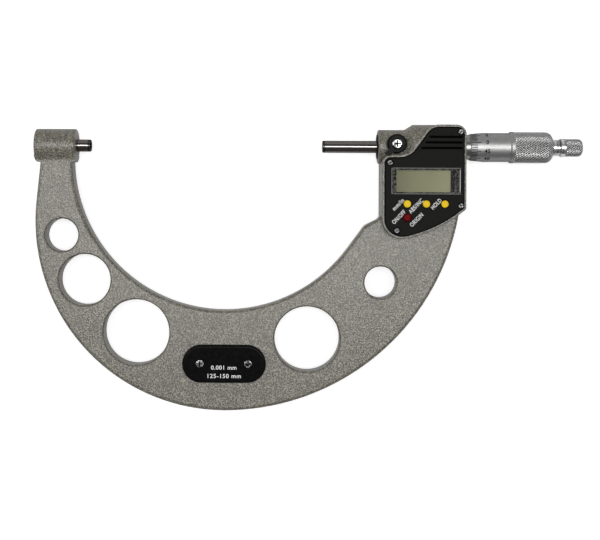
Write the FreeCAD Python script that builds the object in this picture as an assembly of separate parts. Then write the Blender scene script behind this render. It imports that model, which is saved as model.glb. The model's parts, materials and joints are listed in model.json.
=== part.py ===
import FreeCAD, Part
import os
from math import acos, asin, atan2, cos, degrees, pi, radians, sin, sqrt, tan

# Digital outside micrometer, range 125 to 150 mm, shown at its smallest reading.
# The origin is the centre of the anvil's measuring face.
# +X runs along the spindle to the ratchet, +Y is away from the bow, +Z is out of the display.
# All sizes are millimetres. From the shoulder to the ratchet, x is measured from the spindle's face.

os.makedirs("parts", exist_ok=True)

# Driving sizes of the measuring line
measuring_gap = 125.0
travel = 25.0
spindle_d = 6.5
tip_length = 1.5
tip_chamfer = 0.35
anvil_depth = 14.0
face_clearance = 0.03
slide_clearance = 0.10
bush_wall = 1.5
seal_wall = 3.5
seal_depth = 1.6
seal_proud = 0.4
seal_round = 0.3

# Driving sizes of the frame casting
bow_half_thickness = 6.0
bow_edge_round = 1.8
throat_behind_anvil = 9.4
throat_behind_spindle = 29.6
throat_centre_y = -6.5
web_bottom = 53.6
web_left = 19.9
web_right = 45.4
bow_offset_x = 0.2
outer_left_end_y = -30.0
shoulder_x = 23.0
shoulder_y = -42.4
shoulder_radius = 4.0
shoulder_root_y = -38.2
shoulder_root_radius = 4.5
hole_edge_round = 0.8

# Lightening holes in the bow: bearing from the throat's centre, wall to the throat, wall to the rim
hole_a = (205.53, 5.95, 5.24)
hole_b = (221.26, 3.83, 6.47)
hole_c = (243.36, 5.23, 7.96)
hole_d = (294.64, 7.22, 10.66)
hole_e = (321.57, 16.38, 16.88)

# Driving sizes of the two bosses on the measuring line
boss_d = 17.9
spindle_boss_d = 18.5
boss_rim_round = 1.0
boss_blend_radius = 6.0
anvil_projection = 7.6
anvil_boss_length = 22.0
neck_left_x = -26.5
neck_y = -11.4
neck_draft = 0.7
boss_corner_y = -7.2
boss_corner_radius = 5.0
neck_radius = 4.0
spindle_boss_face_x = 29.8

# Driving sizes of the electronics housing and the barrel round the encoder
barrel_radius = 12.1
housing_front_z = 11.6
housing_margin = 1.2
housing_front_round = 0.5
housing_back_round = 1.6
barrel_start_x = 44.2
barrel_full_x = 48.7
pocket_inset = 1.8
ledge_width = 2.0
pocket_floor_wall = 1.4
board_depth = 8.5
post_wall = 1.1
tap_spare = 1.0

# Driving sizes of the display cover
cover_left_x = 32.7
cover_right_x = 75.1
cover_top_y = 10.4
cover_step_y = -5.9
cover_corner_y = -32.8
cover_thickness = 1.8
cover_edge_round = 0.35
step_low_x = 46.1
step_high_x = 57.8
lower_edge_x = 60.8
lower_edge_y = -44.2
lower_end_y = -50.6
cover_top_left_radius = 3.2
step_low_radius = 11.0
step_high_radius = 7.5
cover_top_right_radius = 4.0
cover_low_right_radius = 0.8
lower_edge_radius = 72.0
cover_low_left_radius = 9.6
smallest_corner = 0.4
groove_count = 3
groove_width = 0.7
groove_depth = 0.45
groove_pitch = 2.95
groove_first_y = 4.9
groove_start_gap = 2.6
groove_end_gap = 1.3

# Screws of the cover
cover_screws_at = ((73.0, 7.6), (35.5, -8.9), (73.2, -31.6), (39.3, -45.0))
cover_screw_d = 1.6
cover_screw_head_d = 2.9
cover_screw_head = 0.8
cover_screw_sink = 0.7
cover_screw_bite = 4.9
head_clearance = 0.12

# Window, display and the parts under it
window_left_x = 36.2
window_right_x = 73.2
window_top_y = -11.5
window_bottom_y = -25.6
window_corner = 1.0
window_fit = 0.05
lens_rise = 0.35
lens_bevel = 0.6
glass_left_x = 39.1
glass_right_x = 68.0
glass_top_y = -12.8
glass_bottom_y = -24.4
glass_corner = 0.3
glass_thickness = 1.8
glass_margin = 1.4
bezel_depth = 1.2
bezel_rise = 0.3
bezel_lip = 0.8
bezel_lip_inset = 1.2
bezel_groove_gap = 0.5
bezel_groove_width = 1.2
bezel_groove_depth = 0.8
board_thickness = 1.2
board_gap = 0.25
board_above_window = 1.0
strip_width = 1.0
strip_offset = 0.2
chip_size = 8.0
chip_height = 1.2

# Push buttons and the switches under them
button_d = 3.85
button_fit = 0.10
button_rise = 0.75
button_round = 0.35
button_travel = 0.5
button_flange = 0.6
button_flange_rim = 0.8
button_flange_gap = 0.1
button_stem_d = 2.2
button_row_y = -30.7
button_low_y = -37.95
button_columns = (44.7, 54.8, 64.6)
switch_depth = 3.1
switch_width = 4.5
switch_nib = 0.6
switch_gap = 0.05

# Sleeves and the spindle screw
screw_step = 0.35
screw_chamfer = 0.4
screw_overrun = 1.0
nut_length = 20.0
nut_web_gap = 1.6
inner_bore_clearance = 0.5
inner_sleeve_wall = 1.2
inner_seat_step = 0.7
sleeve_wall = 1.35
sleeve_gap = 0.3
hook_hole_d = 1.6
hook_hole_inset = 1.5
split_wall = 1.1
split_length = 7.6
split_cut = 0.6
split_cuts = 3
split_run_in = 3.0
adjusting_nut_wall = 1.3
adjusting_nut_width = 4.4
adjusting_nut_setback = 1.2
adjusting_slots = 4
adjusting_slot_width = 1.4
adjusting_slot_depth = 1.2
adjusting_slot_floor = 0.5

# Thimble and its tapered seat on the spindle
thimble_front_x = 79.3
thimble_length = 44.8
thimble_rim_wall = 0.35
thimble_wall = 1.05
thimble_grip_wall = 1.75
thimble_bevel_length = 7.0
thimble_grip_x = 101.4
thimble_grip_bevel = 0.7
thimble_web = 4.6
thimble_end_round = 4.0
seat_d = 5.6
seat_taper = 0.5
seat_lead = 1.0
seat_sink = 0.6

# Ratchet stop
ratchet_neck_d = 8.4
ratchet_neck_length = 4.2
ratchet_neck_chamfer = 0.3
ratchet_knob_d = 9.7
ratchet_knob_length = 12.1
ratchet_knob_chamfer = 0.35
ratchet_knob_round = 2.4
ratchet_wall = 1.25
ratchet_end_wall = 0.9
ratchet_teeth = 24
tooth_height = 0.5
tooth_width = 1.2
ratchet_gap = 0.15
ratchet_collar = 2.6
ratchet_stem_d = 3.6
ratchet_stem_gap = 1.6
ratchet_stud_d = 3.0
ratchet_stud_reach = 5.0
ratchet_stud_gap = 0.5
clutch_thickness = 1.4
clutch_key_width = 1.2
clutch_key_rise = 0.5
clutch_key_root = 0.3
spring_wire_d = 0.6
spring_clearance = 0.15
spring_turns = 4
spring_flats = 6
spring_end_wall = 2.2

# Lock lever, its screw, stud and pad
lock_x = 39.3
lock_y = 1.2
lock_hub_d = 10.4
lock_hub_rise = 1.4
lock_hub_chamfer = 0.8
lock_well_depth = 3.2
lock_well_gap = 0.4
lock_lift = 0.1
lock_arm_angle = 228.0
lock_arm_reach = 8.2
lock_arm_width = 3.2
lock_arm_corner = 1.28
lock_arm_gap = 0.3
lock_arm_rise = 0.5
lock_stud_d = 4.0
lock_stud_fit = 0.04
lock_pad_height = 1.6
lock_pad_wrap = 1.2
lock_pad_fit = 0.05
lock_screw_d = 2.5
lock_screw_sink = 1.0
lock_screw_bite = 2.0
lock_screw_head_d = 5.9
lock_screw_head = 1.9
lock_screw_round = 0.8

# Encoder round the spindle
cavity_start_x = 51.0
cavity_end_x = 70.5
cavity_radius = 9.0
rotor_x = 58.0
rotor_thickness = 1.2
rotor_gap = 0.7
hub_wall = 2.0
hub_length = 6.0
key_width = 1.2
key_depth = 0.9
key_length = 2.2
key_setback = 1.2
key_root_gap = 0.15
key_top_gap = 0.2
key_groove_spare = 1.0
rotor_ring_wall = 1.5
rotor_ring_bore_gap = 0.3
rotor_ring_gap = 0.1
encoder_air_gap = 0.3
stator_thickness = 1.2
stator_rim_gap = 0.1
stator_bore_gap = 0.2
holder_wall = 2.5
holder_flange = 1.4

# Battery under the coin cap in the back of the housing
battery_x = 54.5
battery_y = -27.0
battery_d = 11.6
battery_height = 5.4
battery_rim_step = 0.9
battery_rim_height = 0.5
battery_round = 0.4
battery_side_gap = 0.3
cap_thread_wall = 0.7
cap_rim = 0.9
cap_rim_gap = 0.1
cap_head = 0.9
cap_neck = 1.0
cap_seal = 0.3
cap_round = 0.25
coin_slot_length = 11.0
coin_slot_width = 1.6
coin_slot_depth = 0.8
contact_thickness = 0.3
contact_d = 7.0
contact_pin_d = 1.0
contact_width = 2.0
contact_gap = 0.2
contact_hole_d = 2.0
contact_rise = 1.0

# Insulating grip plate on the front of the bow
plate_offset_x = 0.1
plate_y = -116.7
plate_length = 44.8
plate_width = 20.4
plate_thickness = 2.3
plate_round = 1.3
plate_screw_span = 25.7
plate_screw_d = 2.6
plate_screw_head_d = 4.6
plate_screw_head = 1.2
plate_screw_sink = 1.0
plate_screw_bite = 4.2

# Cross recesses, as shares of the screw head that they are cut in
recess_span = 0.62
recess_width = 0.2
recess_depth = 0.5
head_round = 0.45


def vec(x, y, z=0.0):
    return FreeCAD.Vector(x, y, z)


X_AXIS = vec(1, 0, 0)
Y_AXIS = vec(0, 1, 0)
Z_AXIS = vec(0, 0, 1)
TOUCH = 1e-4


def rod_x(diameter, x0, x1, y=0.0, z=0.0):
    """Round bar along X between two stations."""
    return Part.makeCylinder(diameter / 2, x1 - x0, vec(x0, y, z), X_AXIS)


def rod_z(diameter, z0, z1, x, y):
    """Round bar along Z between two heights."""
    return Part.makeCylinder(diameter / 2, z1 - z0, vec(x, y, z0), Z_AXIS)


def block(x0, x1, y0, y1, z0, z1):
    return Part.makeBox(x1 - x0, y1 - y0, z1 - z0, vec(x0, y0, z0))


def turned(stations):
    """Solid turned about the X axis from (x, radius) stations."""
    points = [vec(x, r) for x, r in stations]
    face = Part.Face(Part.makePolygon(points + points[:1]))
    return face.revolve(vec(0, 0), X_AXIS, 360)


def ring_x(outer_d, inner_d, x0, x1):
    return rod_x(outer_d, x0, x1).cut(rod_x(inner_d, x0, x1))


def past_gap(shape):
    """A shape drawn from the spindle's face, put where that face is at rest."""
    moved = shape.copy()
    moved.translate(vec(measuring_gap, 0))
    return moved


def corner_arc(before, corner, after, radius):
    """Start, middle and end of the arc that rounds one corner of an outline."""
    to_before = (before - corner).normalize()
    to_after = (after - corner).normalize()
    half_angle = acos(max(-1.0, min(1.0, to_before.dot(to_after)))) / 2
    reach = radius / tan(half_angle)
    bisector = (to_before + to_after).normalize()
    centre = corner + bisector * (radius / sin(half_angle))
    return corner + to_before * reach, centre - bisector * radius, corner + to_after * reach


def outline(corners):
    """Closed wire through (x, y, radius) corners, each rounded by its radius where there is room."""
    points = [vec(x, y) for x, y, _ in corners]
    count = len(points)
    reaches = []
    for i, (_, _, radius) in enumerate(corners):
        to_before = (points[i - 1] - points[i]).normalize()
        to_after = (points[(i + 1) % count] - points[i]).normalize()
        reaches.append(radius / tan(acos(max(-1.0, min(1.0, to_before.dot(to_after)))) / 2))
    room = [1.0] * count
    for i in range(count):
        wanted = reaches[i - 1] + reaches[i]
        length = points[i].distanceToPoint(points[i - 1])
        if wanted > length:
            room[i] = min(room[i], length / wanted)
            room[i - 1] = min(room[i - 1], length / wanted)
    edges = []
    last = None
    for i, (_, _, radius) in enumerate(corners):
        if radius:
            start, middle, end = corner_arc(points[i - 1], points[i], points[(i + 1) % count], radius * room[i])
        else:
            start = middle = end = points[i]
        if last is None:
            first = start
        elif last.distanceToPoint(start) > TOUCH:
            edges.append(Part.makeLine(last, start))
        if radius:
            edges.append(Part.Arc(start, middle, end).toShape())
        last = end
    if last.distanceToPoint(first) > TOUCH:
        edges.append(Part.makeLine(last, first))
    return Part.Wire(edges)


def prism(wire, z0, z1):
    """Solid of one closed flat outline between two heights."""
    face = Part.Face(wire)
    face.translate(vec(0, 0, z0))
    return face.extrude(vec(0, 0, z1 - z0))


def rectangle(x0, x1, y0, y1, radius):
    return outline([(x0, y0, radius), (x1, y0, radius), (x1, y1, radius), (x0, y1, radius)])


def slot_outline(x, y, length, width):
    """Flat-sided outline with full round ends along X."""
    radius = width / 2
    half = length / 2 - radius
    top = Part.makeLine(vec(x - half, y + radius), vec(x + half, y + radius))
    right = Part.Arc(vec(x + half, y + radius), vec(x + half + radius, y), vec(x + half, y - radius))
    bottom = Part.makeLine(vec(x + half, y - radius), vec(x - half, y - radius))
    left = Part.Arc(vec(x - half, y - radius), vec(x - half - radius, y), vec(x - half, y + radius))
    return Part.Wire([top, right.toShape(), bottom, left.toShape()])


def arc_about(centre, radius, start, end):
    """Arc about a centre between two angles in degrees."""
    def on_arc(angle):
        return centre + vec(cos(radians(angle)), sin(radians(angle))) * radius
    return Part.Arc(on_arc(start), on_arc((start + end) / 2), on_arc(end)).toShape()


def flat_edges(solid, z, keep=None):
    """Edges that lie at one height, or those of them that keep() accepts."""
    found = []
    for edge in solid.Edges:
        box = edge.BoundBox
        if abs(box.ZMin - z) < TOUCH and abs(box.ZMax - z) < TOUCH:
            if keep is None or keep(edge.CenterOfMass):
                found.append(edge)
    return found


def end_edges(solid, x):
    """Edges that lie in one plane across the X axis."""
    return [e for e in solid.Edges if abs(e.BoundBox.XMin - x) < TOUCH and abs(e.BoundBox.XMax - x) < TOUCH]


def moved_corners(corners, offset):
    """The same clockwise outline moved outwards by an offset, radii kept concentric."""
    points = [vec(x, y) for x, y, _ in corners]
    count = len(points)
    moved = []
    for i, (_, _, radius) in enumerate(corners):
        along = (points[i] - points[i - 1]).normalize()
        onward = (points[(i + 1) % count] - points[i]).normalize()
        turn = along.cross(onward).z
        out_before = vec(-along.y, along.x)
        out_after = vec(-onward.y, onward.x)
        shift = (out_before + out_after) * (offset / (1 + out_before.dot(out_after)))
        place = points[i] + shift
        new_radius = radius + offset if turn < 0 else radius - offset
        moved.append((place.x, place.y, max(new_radius, smallest_corner)))
    return moved


def cover_outline(offset=0.0):
    """Outline of the display cover, moved out (or in) by an offset."""
    corners = [
        (cover_left_x, cover_step_y, cover_top_left_radius),
        (step_low_x, cover_step_y, step_low_radius),
        (step_high_x, cover_top_y, step_high_radius),
        (cover_right_x, cover_top_y, cover_top_right_radius),
        (cover_right_x, cover_corner_y, cover_low_right_radius),
        (lower_edge_x, lower_edge_y, lower_edge_radius),
        (cover_left_x, lower_end_y, cover_low_left_radius),
    ]
    return outline(moved_corners(corners, offset))


# Centres and radii of the bow, worked out so that it spans the measuring gap
throat_radius = (throat_behind_anvil + measuring_gap + throat_behind_spindle) / 2
throat_centre = vec(throat_radius - throat_behind_anvil, throat_centre_y)
bow_bottom_y = throat_centre_y - throat_radius - web_bottom
outer_radius_left = throat_radius + web_left
outer_radius_right = throat_radius + web_right
left_centre = vec(throat_centre.x + bow_offset_x, bow_bottom_y + outer_radius_left)
right_centre = vec(throat_centre.x + bow_offset_x, bow_bottom_y + outer_radius_right)

# Places along the measuring line, worked out from the driving sizes
anvil_boss_right_x = -anvil_projection
anvil_boss_left_x = anvil_boss_right_x - anvil_boss_length
wall_left_x = cover_left_x - housing_margin
wall_right_x = cover_right_x + housing_margin
bush_d = spindle_d + 2 * bush_wall
seal_d = spindle_d + 2 * seal_wall
spindle_bore_d = spindle_d + 2 * face_clearance
screw_d = spindle_d + 2 * screw_step
inner_bore_d = screw_d + 2 * inner_bore_clearance
inner_sleeve_d = inner_bore_d + 2 * inner_sleeve_wall
inner_seat_d = inner_sleeve_d + 2 * inner_seat_step
split_d = screw_d + 2 * split_wall
sleeve_d = inner_sleeve_d + 2 * sleeve_wall
thimble_bore_d = sleeve_d + 2 * slide_clearance
thimble_rim_d = thimble_bore_d + 2 * thimble_rim_wall
thimble_d = thimble_bore_d + 2 * thimble_wall
thimble_grip_d = thimble_bore_d + 2 * thimble_grip_wall
thimble_end_x = thimble_front_x + thimble_length
thimble_web_x = thimble_end_x - thimble_web
nut_end_x = thimble_web_x - nut_web_gap
nut_start_x = nut_end_x - nut_length
sleeve_end_x = nut_end_x - split_length
screw_start_x = nut_start_x - travel - screw_overrun
screw_end_x = thimble_web_x - seat_lead
stud_start_x = thimble_web_x - ratchet_stud_reach
ratchet_knob_x = thimble_end_x + ratchet_neck_length
ratchet_end_x = ratchet_knob_x + ratchet_knob_length
clutch_d = ratchet_knob_d - 2 * (ratchet_wall + slide_clearance)
wheel_x = ratchet_knob_x + ratchet_collar
clutch_x = wheel_x + tooth_height + ratchet_gap
spring_end_x = ratchet_end_x - spring_end_wall

# Places of the encoder
rotor_d = 2 * (cavity_radius - rotor_gap)
hub_d = spindle_d + 2 * hub_wall
hub_end_x = rotor_x + rotor_thickness + hub_length
key_end_x = hub_end_x - key_setback
key_start_x = key_end_x - key_length
stator_end_x = rotor_x - encoder_air_gap
stator_start_x = stator_end_x - stator_thickness

# Heights in the housing, worked in from its front and its back
housing_back_z = -barrel_radius
cover_front_z = housing_front_z + cover_thickness
lock_seat_z = housing_front_z - lock_well_depth
lock_hub_z = housing_front_z + lock_hub_rise
lock_screw_seat_z = lock_hub_z - lock_screw_sink
board_seat_z = housing_front_z - board_depth
board_top_z = board_seat_z + board_thickness
switch_top_z = housing_front_z - switch_depth
bezel_back_z = housing_front_z - bezel_depth
bezel_front_z = housing_front_z + bezel_rise
glass_back_z = bezel_back_z - glass_thickness
battery_bore_d = battery_d + 2 * battery_side_gap
cap_neck_d = battery_bore_d + 2 * cap_thread_wall
cap_d = cap_neck_d + 2 * cap_rim
cap_ledge_z = housing_back_z + cap_head + cap_seal
cap_inner_z = housing_back_z + cap_head + cap_neck
battery_top_z = cap_inner_z + battery_height
battery_roof_z = battery_top_z + contact_thickness
pocket_floor_z = battery_roof_z + pocket_floor_wall
side_contact_x = battery_x + battery_bore_d / 2
side_contact_z = cap_inner_z + contact_rise
plate_x = throat_centre.x + plate_offset_x
plate_top_z = bow_half_thickness + plate_thickness
button_names = ("button_unit", "button_mode", "button_hold", "button_power")
button_centres = [(x, button_row_y) for x in button_columns] + [(button_columns[0], button_low_y)]
plate_screws_at = [(plate_x + side * plate_screw_span / 2, plate_y) for side in (-1, 1)]


def bow_outline():
    """The whole flat outline of the bow, from the anvil boss round to the housing."""
    right_start = degrees(asin((cover_corner_y - right_centre.y) / outer_radius_right))
    left_end = 180 + degrees(asin((left_centre.y - outer_left_end_y) / outer_radius_left))
    shoulder = vec(measuring_gap + shoulder_x, shoulder_y)
    out_to_shoulder = shoulder - throat_centre
    bearing = degrees(atan2(out_to_shoulder.y, out_to_shoulder.x))
    throat_end = 360 + bearing - degrees(acos(throat_radius / out_to_shoulder.Length))
    outer_right = arc_about(right_centre, outer_radius_right, right_start, -90)
    outer_left = arc_about(left_centre, outer_radius_left, 270, left_end)
    throat = arc_about(throat_centre, throat_radius, 180, throat_end)
    shank_start = outer_left.Vertexes[-1].Point
    rise = throat_centre_y - shank_start.y
    below_centre = outer_left_end_y - left_centre.y
    slope = below_centre / sqrt(outer_radius_left ** 2 - below_centre ** 2)
    shank_top = vec(shank_start.x + rise * slope, throat_centre_y)
    throat_top = throat.Vertexes[0].Point
    throat_low = throat.Vertexes[-1].Point
    root = vec(measuring_gap + wall_left_x, shoulder_root_y)
    wall_top = vec(measuring_gap + wall_left_x, cover_corner_y)
    first = corner_arc(throat_low, shoulder, root, shoulder_radius)
    second = corner_arc(shoulder, root, wall_top, shoulder_root_radius)
    right_top = outer_right.Vertexes[0].Point
    edges = [
        outer_right,
        outer_left,
        Part.makeLine(shank_start, shank_top),
        Part.makeLine(shank_top, throat_top),
        throat,
        Part.makeLine(throat_low, first[0]),
        Part.Arc(*first).toShape(),
        Part.makeLine(first[2], second[0]),
        Part.Arc(*second).toShape(),
        Part.makeLine(second[2], wall_top),
        Part.makeLine(wall_top, right_top),
    ]
    return Part.Wire(Part.__sortEdges__(edges))


def hole_circle(bearing, inner_wall, outer_wall, rim_centre, rim_radius):
    """Centre and radius of the round hole that leaves these walls to the throat and to the rim."""
    out = vec(cos(radians(bearing)), sin(radians(bearing)))
    start = throat_centre + out * (throat_radius + inner_wall)
    room = rim_radius - outer_wall
    back = start - rim_centre
    radius = (room ** 2 - back.Length ** 2) / (2 * (back.dot(out) + room))
    return start + out * radius, radius


def bow_plate():
    """The flat C-shaped web of the casting, with rounded rims and its lightening holes."""
    plate = prism(bow_outline(), -bow_half_thickness, bow_half_thickness)

    def on_rim(middle):
        return middle.y < throat_centre_y - TOUCH and abs(middle.y - cover_corner_y) > TOUCH

    rims = flat_edges(plate, bow_half_thickness, on_rim) + flat_edges(plate, -bow_half_thickness, on_rim)
    plate = plate.makeFillet(bow_edge_round, rims)
    holes = [hole_circle(*hole, left_centre, outer_radius_left) for hole in (hole_a, hole_b, hole_c)]
    holes += [hole_circle(*hole, right_centre, outer_radius_right) for hole in (hole_d, hole_e)]
    for centre, radius in holes:
        hole = rod_z(2 * radius, -bow_half_thickness, bow_half_thickness, centre.x, centre.y)
        flare = hole_edge_round
        for side in (1, -1):
            root = centre + Z_AXIS * (side * (bow_half_thickness - flare))
            cone = Part.makeCone(radius, radius + 2 * flare, 2 * flare, root, Z_AXIS * side)
            hole = hole.fuse(cone)
        plate = plate.cut(hole)
    return plate


def boss_blend(x0, x1):
    """Concave blend between a round boss and the flat web below it."""
    boss_r = boss_d / 2
    reach = boss_r + boss_blend_radius
    height = bow_half_thickness + boss_blend_radius
    centre_y = -sqrt(reach ** 2 - height ** 2)
    on_boss = vec(x0, centre_y * boss_r / reach, height * boss_r / reach)
    on_web = vec(x0, centre_y, bow_half_thickness)
    turn = atan2(height, -centre_y) / 2 + pi / 4
    middle = vec(x0, centre_y + boss_blend_radius * cos(turn), height - boss_blend_radius * sin(turn))

    def below(point):
        return vec(point.x, point.y, -point.z)

    edges = [
        Part.Arc(on_boss, middle, on_web).toShape(),
        Part.makeLine(on_web, below(on_web)),
        Part.Arc(below(on_web), below(middle), below(on_boss)).toShape(),
        Part.makeLine(below(on_boss), on_boss),
    ]
    return Part.Face(Part.Wire(edges)).extrude(vec(x1 - x0, 0, 0))


def anvil_boss():
    """Round boss that carries the anvil, pinched in to the neck of the bow."""
    left = anvil_boss_left_x
    right = anvil_boss_right_x
    drum = rod_x(boss_d, left, right)
    drum = drum.makeFillet(boss_rim_round, end_edges(drum, left) + end_edges(drum, right))
    body = drum.fuse(boss_blend(left, right))
    neck_right_x = -throat_behind_anvil
    neck_low_y = neck_y - boss_d / 2
    side = outline([
        (left, boss_d, 0),
        (left, boss_corner_y, boss_corner_radius),
        (neck_left_x, neck_y, neck_radius),
        (neck_left_x - neck_draft, neck_low_y, 0),
        (neck_right_x + neck_draft, neck_low_y, 0),
        (neck_right_x, neck_y, neck_radius),
        (right, boss_corner_y, neck_radius),
        (right, boss_d, 0),
    ])
    return body.common(prism(side, -boss_d, boss_d))


def barrel():
    """Round barrel about the measuring line, with the cover's corner at its far end."""
    drum = rod_x(2 * barrel_radius, barrel_full_x, wall_right_x)
    drum = drum.makeFillet(housing_back_round, end_edges(drum, wall_right_x))
    side = outline([
        (barrel_full_x, barrel_radius, 0),
        (wall_right_x, barrel_radius, cover_top_right_radius + housing_margin),
        (wall_right_x, -barrel_radius, 0),
        (barrel_full_x, -barrel_radius, 0),
    ])
    return drum.common(prism(side, -barrel_radius, barrel_radius))


def spindle_boss():
    """Round boss of the spindle, stepping up to the barrel, which is flat under the cover."""
    boss_r = spindle_boss_d / 2
    face_x = spindle_boss_face_x
    body = turned([
        (face_x, 0),
        (face_x, boss_r),
        (barrel_start_x, boss_r),
        (barrel_full_x, barrel_radius),
        (barrel_full_x, 0),
    ])
    body = body.makeFillet(boss_rim_round, end_edges(body, face_x)).fuse(barrel())
    return body.cut(prism(cover_outline(housing_margin), housing_front_z, barrel_radius))


def housing_body():
    """Box of the electronics, its upper back turned round into the barrel."""
    body = prism(cover_outline(housing_margin), housing_back_z, housing_front_z)
    body = body.makeFillet(housing_front_round, flat_edges(body, housing_front_z))
    body = body.makeFillet(housing_back_round, flat_edges(body, housing_back_z))
    corner = block(barrel_full_x, wall_right_x, 0, barrel_radius, housing_back_z, 0)
    return body.cut(corner.cut(barrel()))


def housing_pocket():
    """Room for the electronics: a ledge for the board, the encoder's cavity and four screw posts."""
    upper = prism(cover_outline(-pocket_inset), board_seat_z, housing_front_z)
    lower = prism(cover_outline(-pocket_inset - ledge_width), pocket_floor_z, housing_front_z)
    pocket = upper.fuse([lower])
    for x, y in cover_screws_at:
        pocket = pocket.cut(rod_z(cover_screw_d + 2 * post_wall, pocket_floor_z, housing_front_z, x, y))
    over_bush = block(wall_left_x, cavity_start_x, cover_step_y - pocket_inset, barrel_radius, pocket_floor_z,
                      housing_front_z)
    return pocket.cut(over_bush)


def battery_cuts():
    """Bay for the cell and its cap, with the ways for the two contacts."""
    half = contact_width / 2 + contact_gap
    slot_end_x = side_contact_x + contact_thickness
    return [
        rod_z(cap_d, housing_back_z, cap_ledge_z, battery_x, battery_y),
        rod_z(cap_neck_d, housing_back_z, cap_inner_z, battery_x, battery_y),
        rod_z(battery_bore_d, housing_back_z, battery_roof_z, battery_x, battery_y),
        rod_z(contact_hole_d, battery_roof_z, pocket_floor_z, battery_x, battery_y),
        block(battery_x, slot_end_x, battery_y - half, battery_y + half, side_contact_z, pocket_floor_z),
    ]


def right_side_cuts():
    """Bores, wells and tapped holes of the housing, from the spindle's face."""
    seal_end_x = spindle_boss_face_x + seal_depth
    screw_bottom_z = housing_front_z - cover_screw_bite - tap_spare
    cuts = [housing_pocket(), rod_x(2 * cavity_radius, cavity_start_x, cavity_end_x)]
    for x, y in cover_screws_at:
        cuts.append(rod_z(cover_screw_d, screw_bottom_z, housing_front_z, x, y))
    cuts.append(rod_x(bush_d, spindle_boss_face_x, cavity_start_x))
    cuts.append(rod_x(seal_d, spindle_boss_face_x - seal_proud, seal_end_x))
    cuts.append(rod_x(inner_seat_d, cavity_end_x, wall_right_x))
    cuts.append(rod_z(lock_hub_d + 2 * lock_well_gap, lock_seat_z, lock_hub_z, lock_x, lock_y))
    cuts.append(rod_z(lock_stud_d, 0, lock_seat_z, lock_x, lock_y))
    return cuts + battery_cuts()


def make_frame():
    """One casting: bow, anvil boss, spindle boss, barrel and housing."""
    body = bow_plate().fuse([anvil_boss(), past_gap(spindle_boss()), past_gap(housing_body())])
    body = body.removeSplitter()
    cuts = [past_gap(shape) for shape in right_side_cuts()]
    cuts.append(rod_x(spindle_d, -anvil_projection - anvil_depth, 0))
    plate_hole_z = bow_half_thickness - plate_screw_bite - tap_spare
    for x, y in plate_screws_at:
        cuts.append(rod_z(plate_screw_d, plate_hole_z, bow_half_thickness, x, y))
    for shape in cuts:
        body = body.cut(shape)
    return body


def measuring_pin(x0, x1, face_x):
    """Round carbide pin along X with its measuring end chamfered."""
    pin = rod_x(spindle_d, x0, x1)
    return pin.makeChamfer(tip_chamfer, end_edges(pin, face_x))


def make_anvil():
    return rod_x(spindle_d, -anvil_projection - anvil_depth, -tip_length)


def make_anvil_tip():
    return measuring_pin(-tip_length, 0, 0)


def make_spindle_tip():
    return measuring_pin(0, tip_length, 0)


def seat_radius(x):
    """Radius of the tapered seat between spindle and thimble."""
    end_x = thimble_end_x - seat_sink
    return seat_d / 2 + seat_taper * (end_x - x) / (end_x - screw_end_x)


def make_spindle():
    """Ground spindle, its screw, and the tapered seat that draws into the thimble."""
    end_x = thimble_end_x - seat_sink
    shank = rod_x(spindle_d, tip_length, screw_start_x)
    screw = rod_x(screw_d, screw_start_x, screw_end_x)
    screw = screw.makeChamfer(screw_chamfer, end_edges(screw, screw_start_x) + end_edges(screw, screw_end_x))
    seat = turned([(screw_end_x, 0), (screw_end_x, seat_radius(screw_end_x)), (end_x, seat_radius(end_x)),
                   (end_x, 0)])
    body = shank.fuse([screw, seat])
    groove = block(key_start_x - travel - key_groove_spare, key_end_x + key_groove_spare, -key_width / 2,
                   key_width / 2, spindle_d / 2 - key_depth, screw_d)
    body = body.cut(groove)
    return body.cut(rod_x(ratchet_stud_d, stud_start_x, thimble_end_x))


def make_spindle_bush():
    bush = ring_x(bush_d, spindle_bore_d, spindle_boss_face_x + seal_depth, cavity_start_x)
    return bush.cut(rod_z(lock_stud_d, 0, lock_seat_z, lock_x, lock_y))


def make_spindle_seal():
    front_x = spindle_boss_face_x - seal_proud
    seal = ring_x(seal_d, spindle_bore_d, front_x, spindle_boss_face_x + seal_depth)
    outer_rim = max(end_edges(seal, front_x), key=lambda e: e.Length)
    return seal.makeFillet(seal_round, [outer_rim])


def make_thimble():
    """Graduated thimble: bevelled front, plain drum, grip and rounded back."""
    outer = turned([
        (thimble_front_x, 0),
        (thimble_front_x, thimble_rim_d / 2),
        (thimble_front_x + thimble_bevel_length, thimble_d / 2),
        (thimble_grip_x - thimble_grip_bevel, thimble_d / 2),
        (thimble_grip_x, thimble_grip_d / 2),
        (thimble_end_x, thimble_grip_d / 2),
        (thimble_end_x, 0),
    ])
    outer = outer.makeFillet(thimble_end_round, end_edges(outer, thimble_end_x))
    inside = rod_x(thimble_bore_d, thimble_front_x, thimble_web_x)
    seat = turned([(thimble_web_x, 0), (thimble_web_x, seat_radius(thimble_web_x)),
                   (thimble_end_x, seat_radius(thimble_end_x)), (thimble_end_x, 0)])
    return outer.cut(inside).cut(seat)


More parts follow.
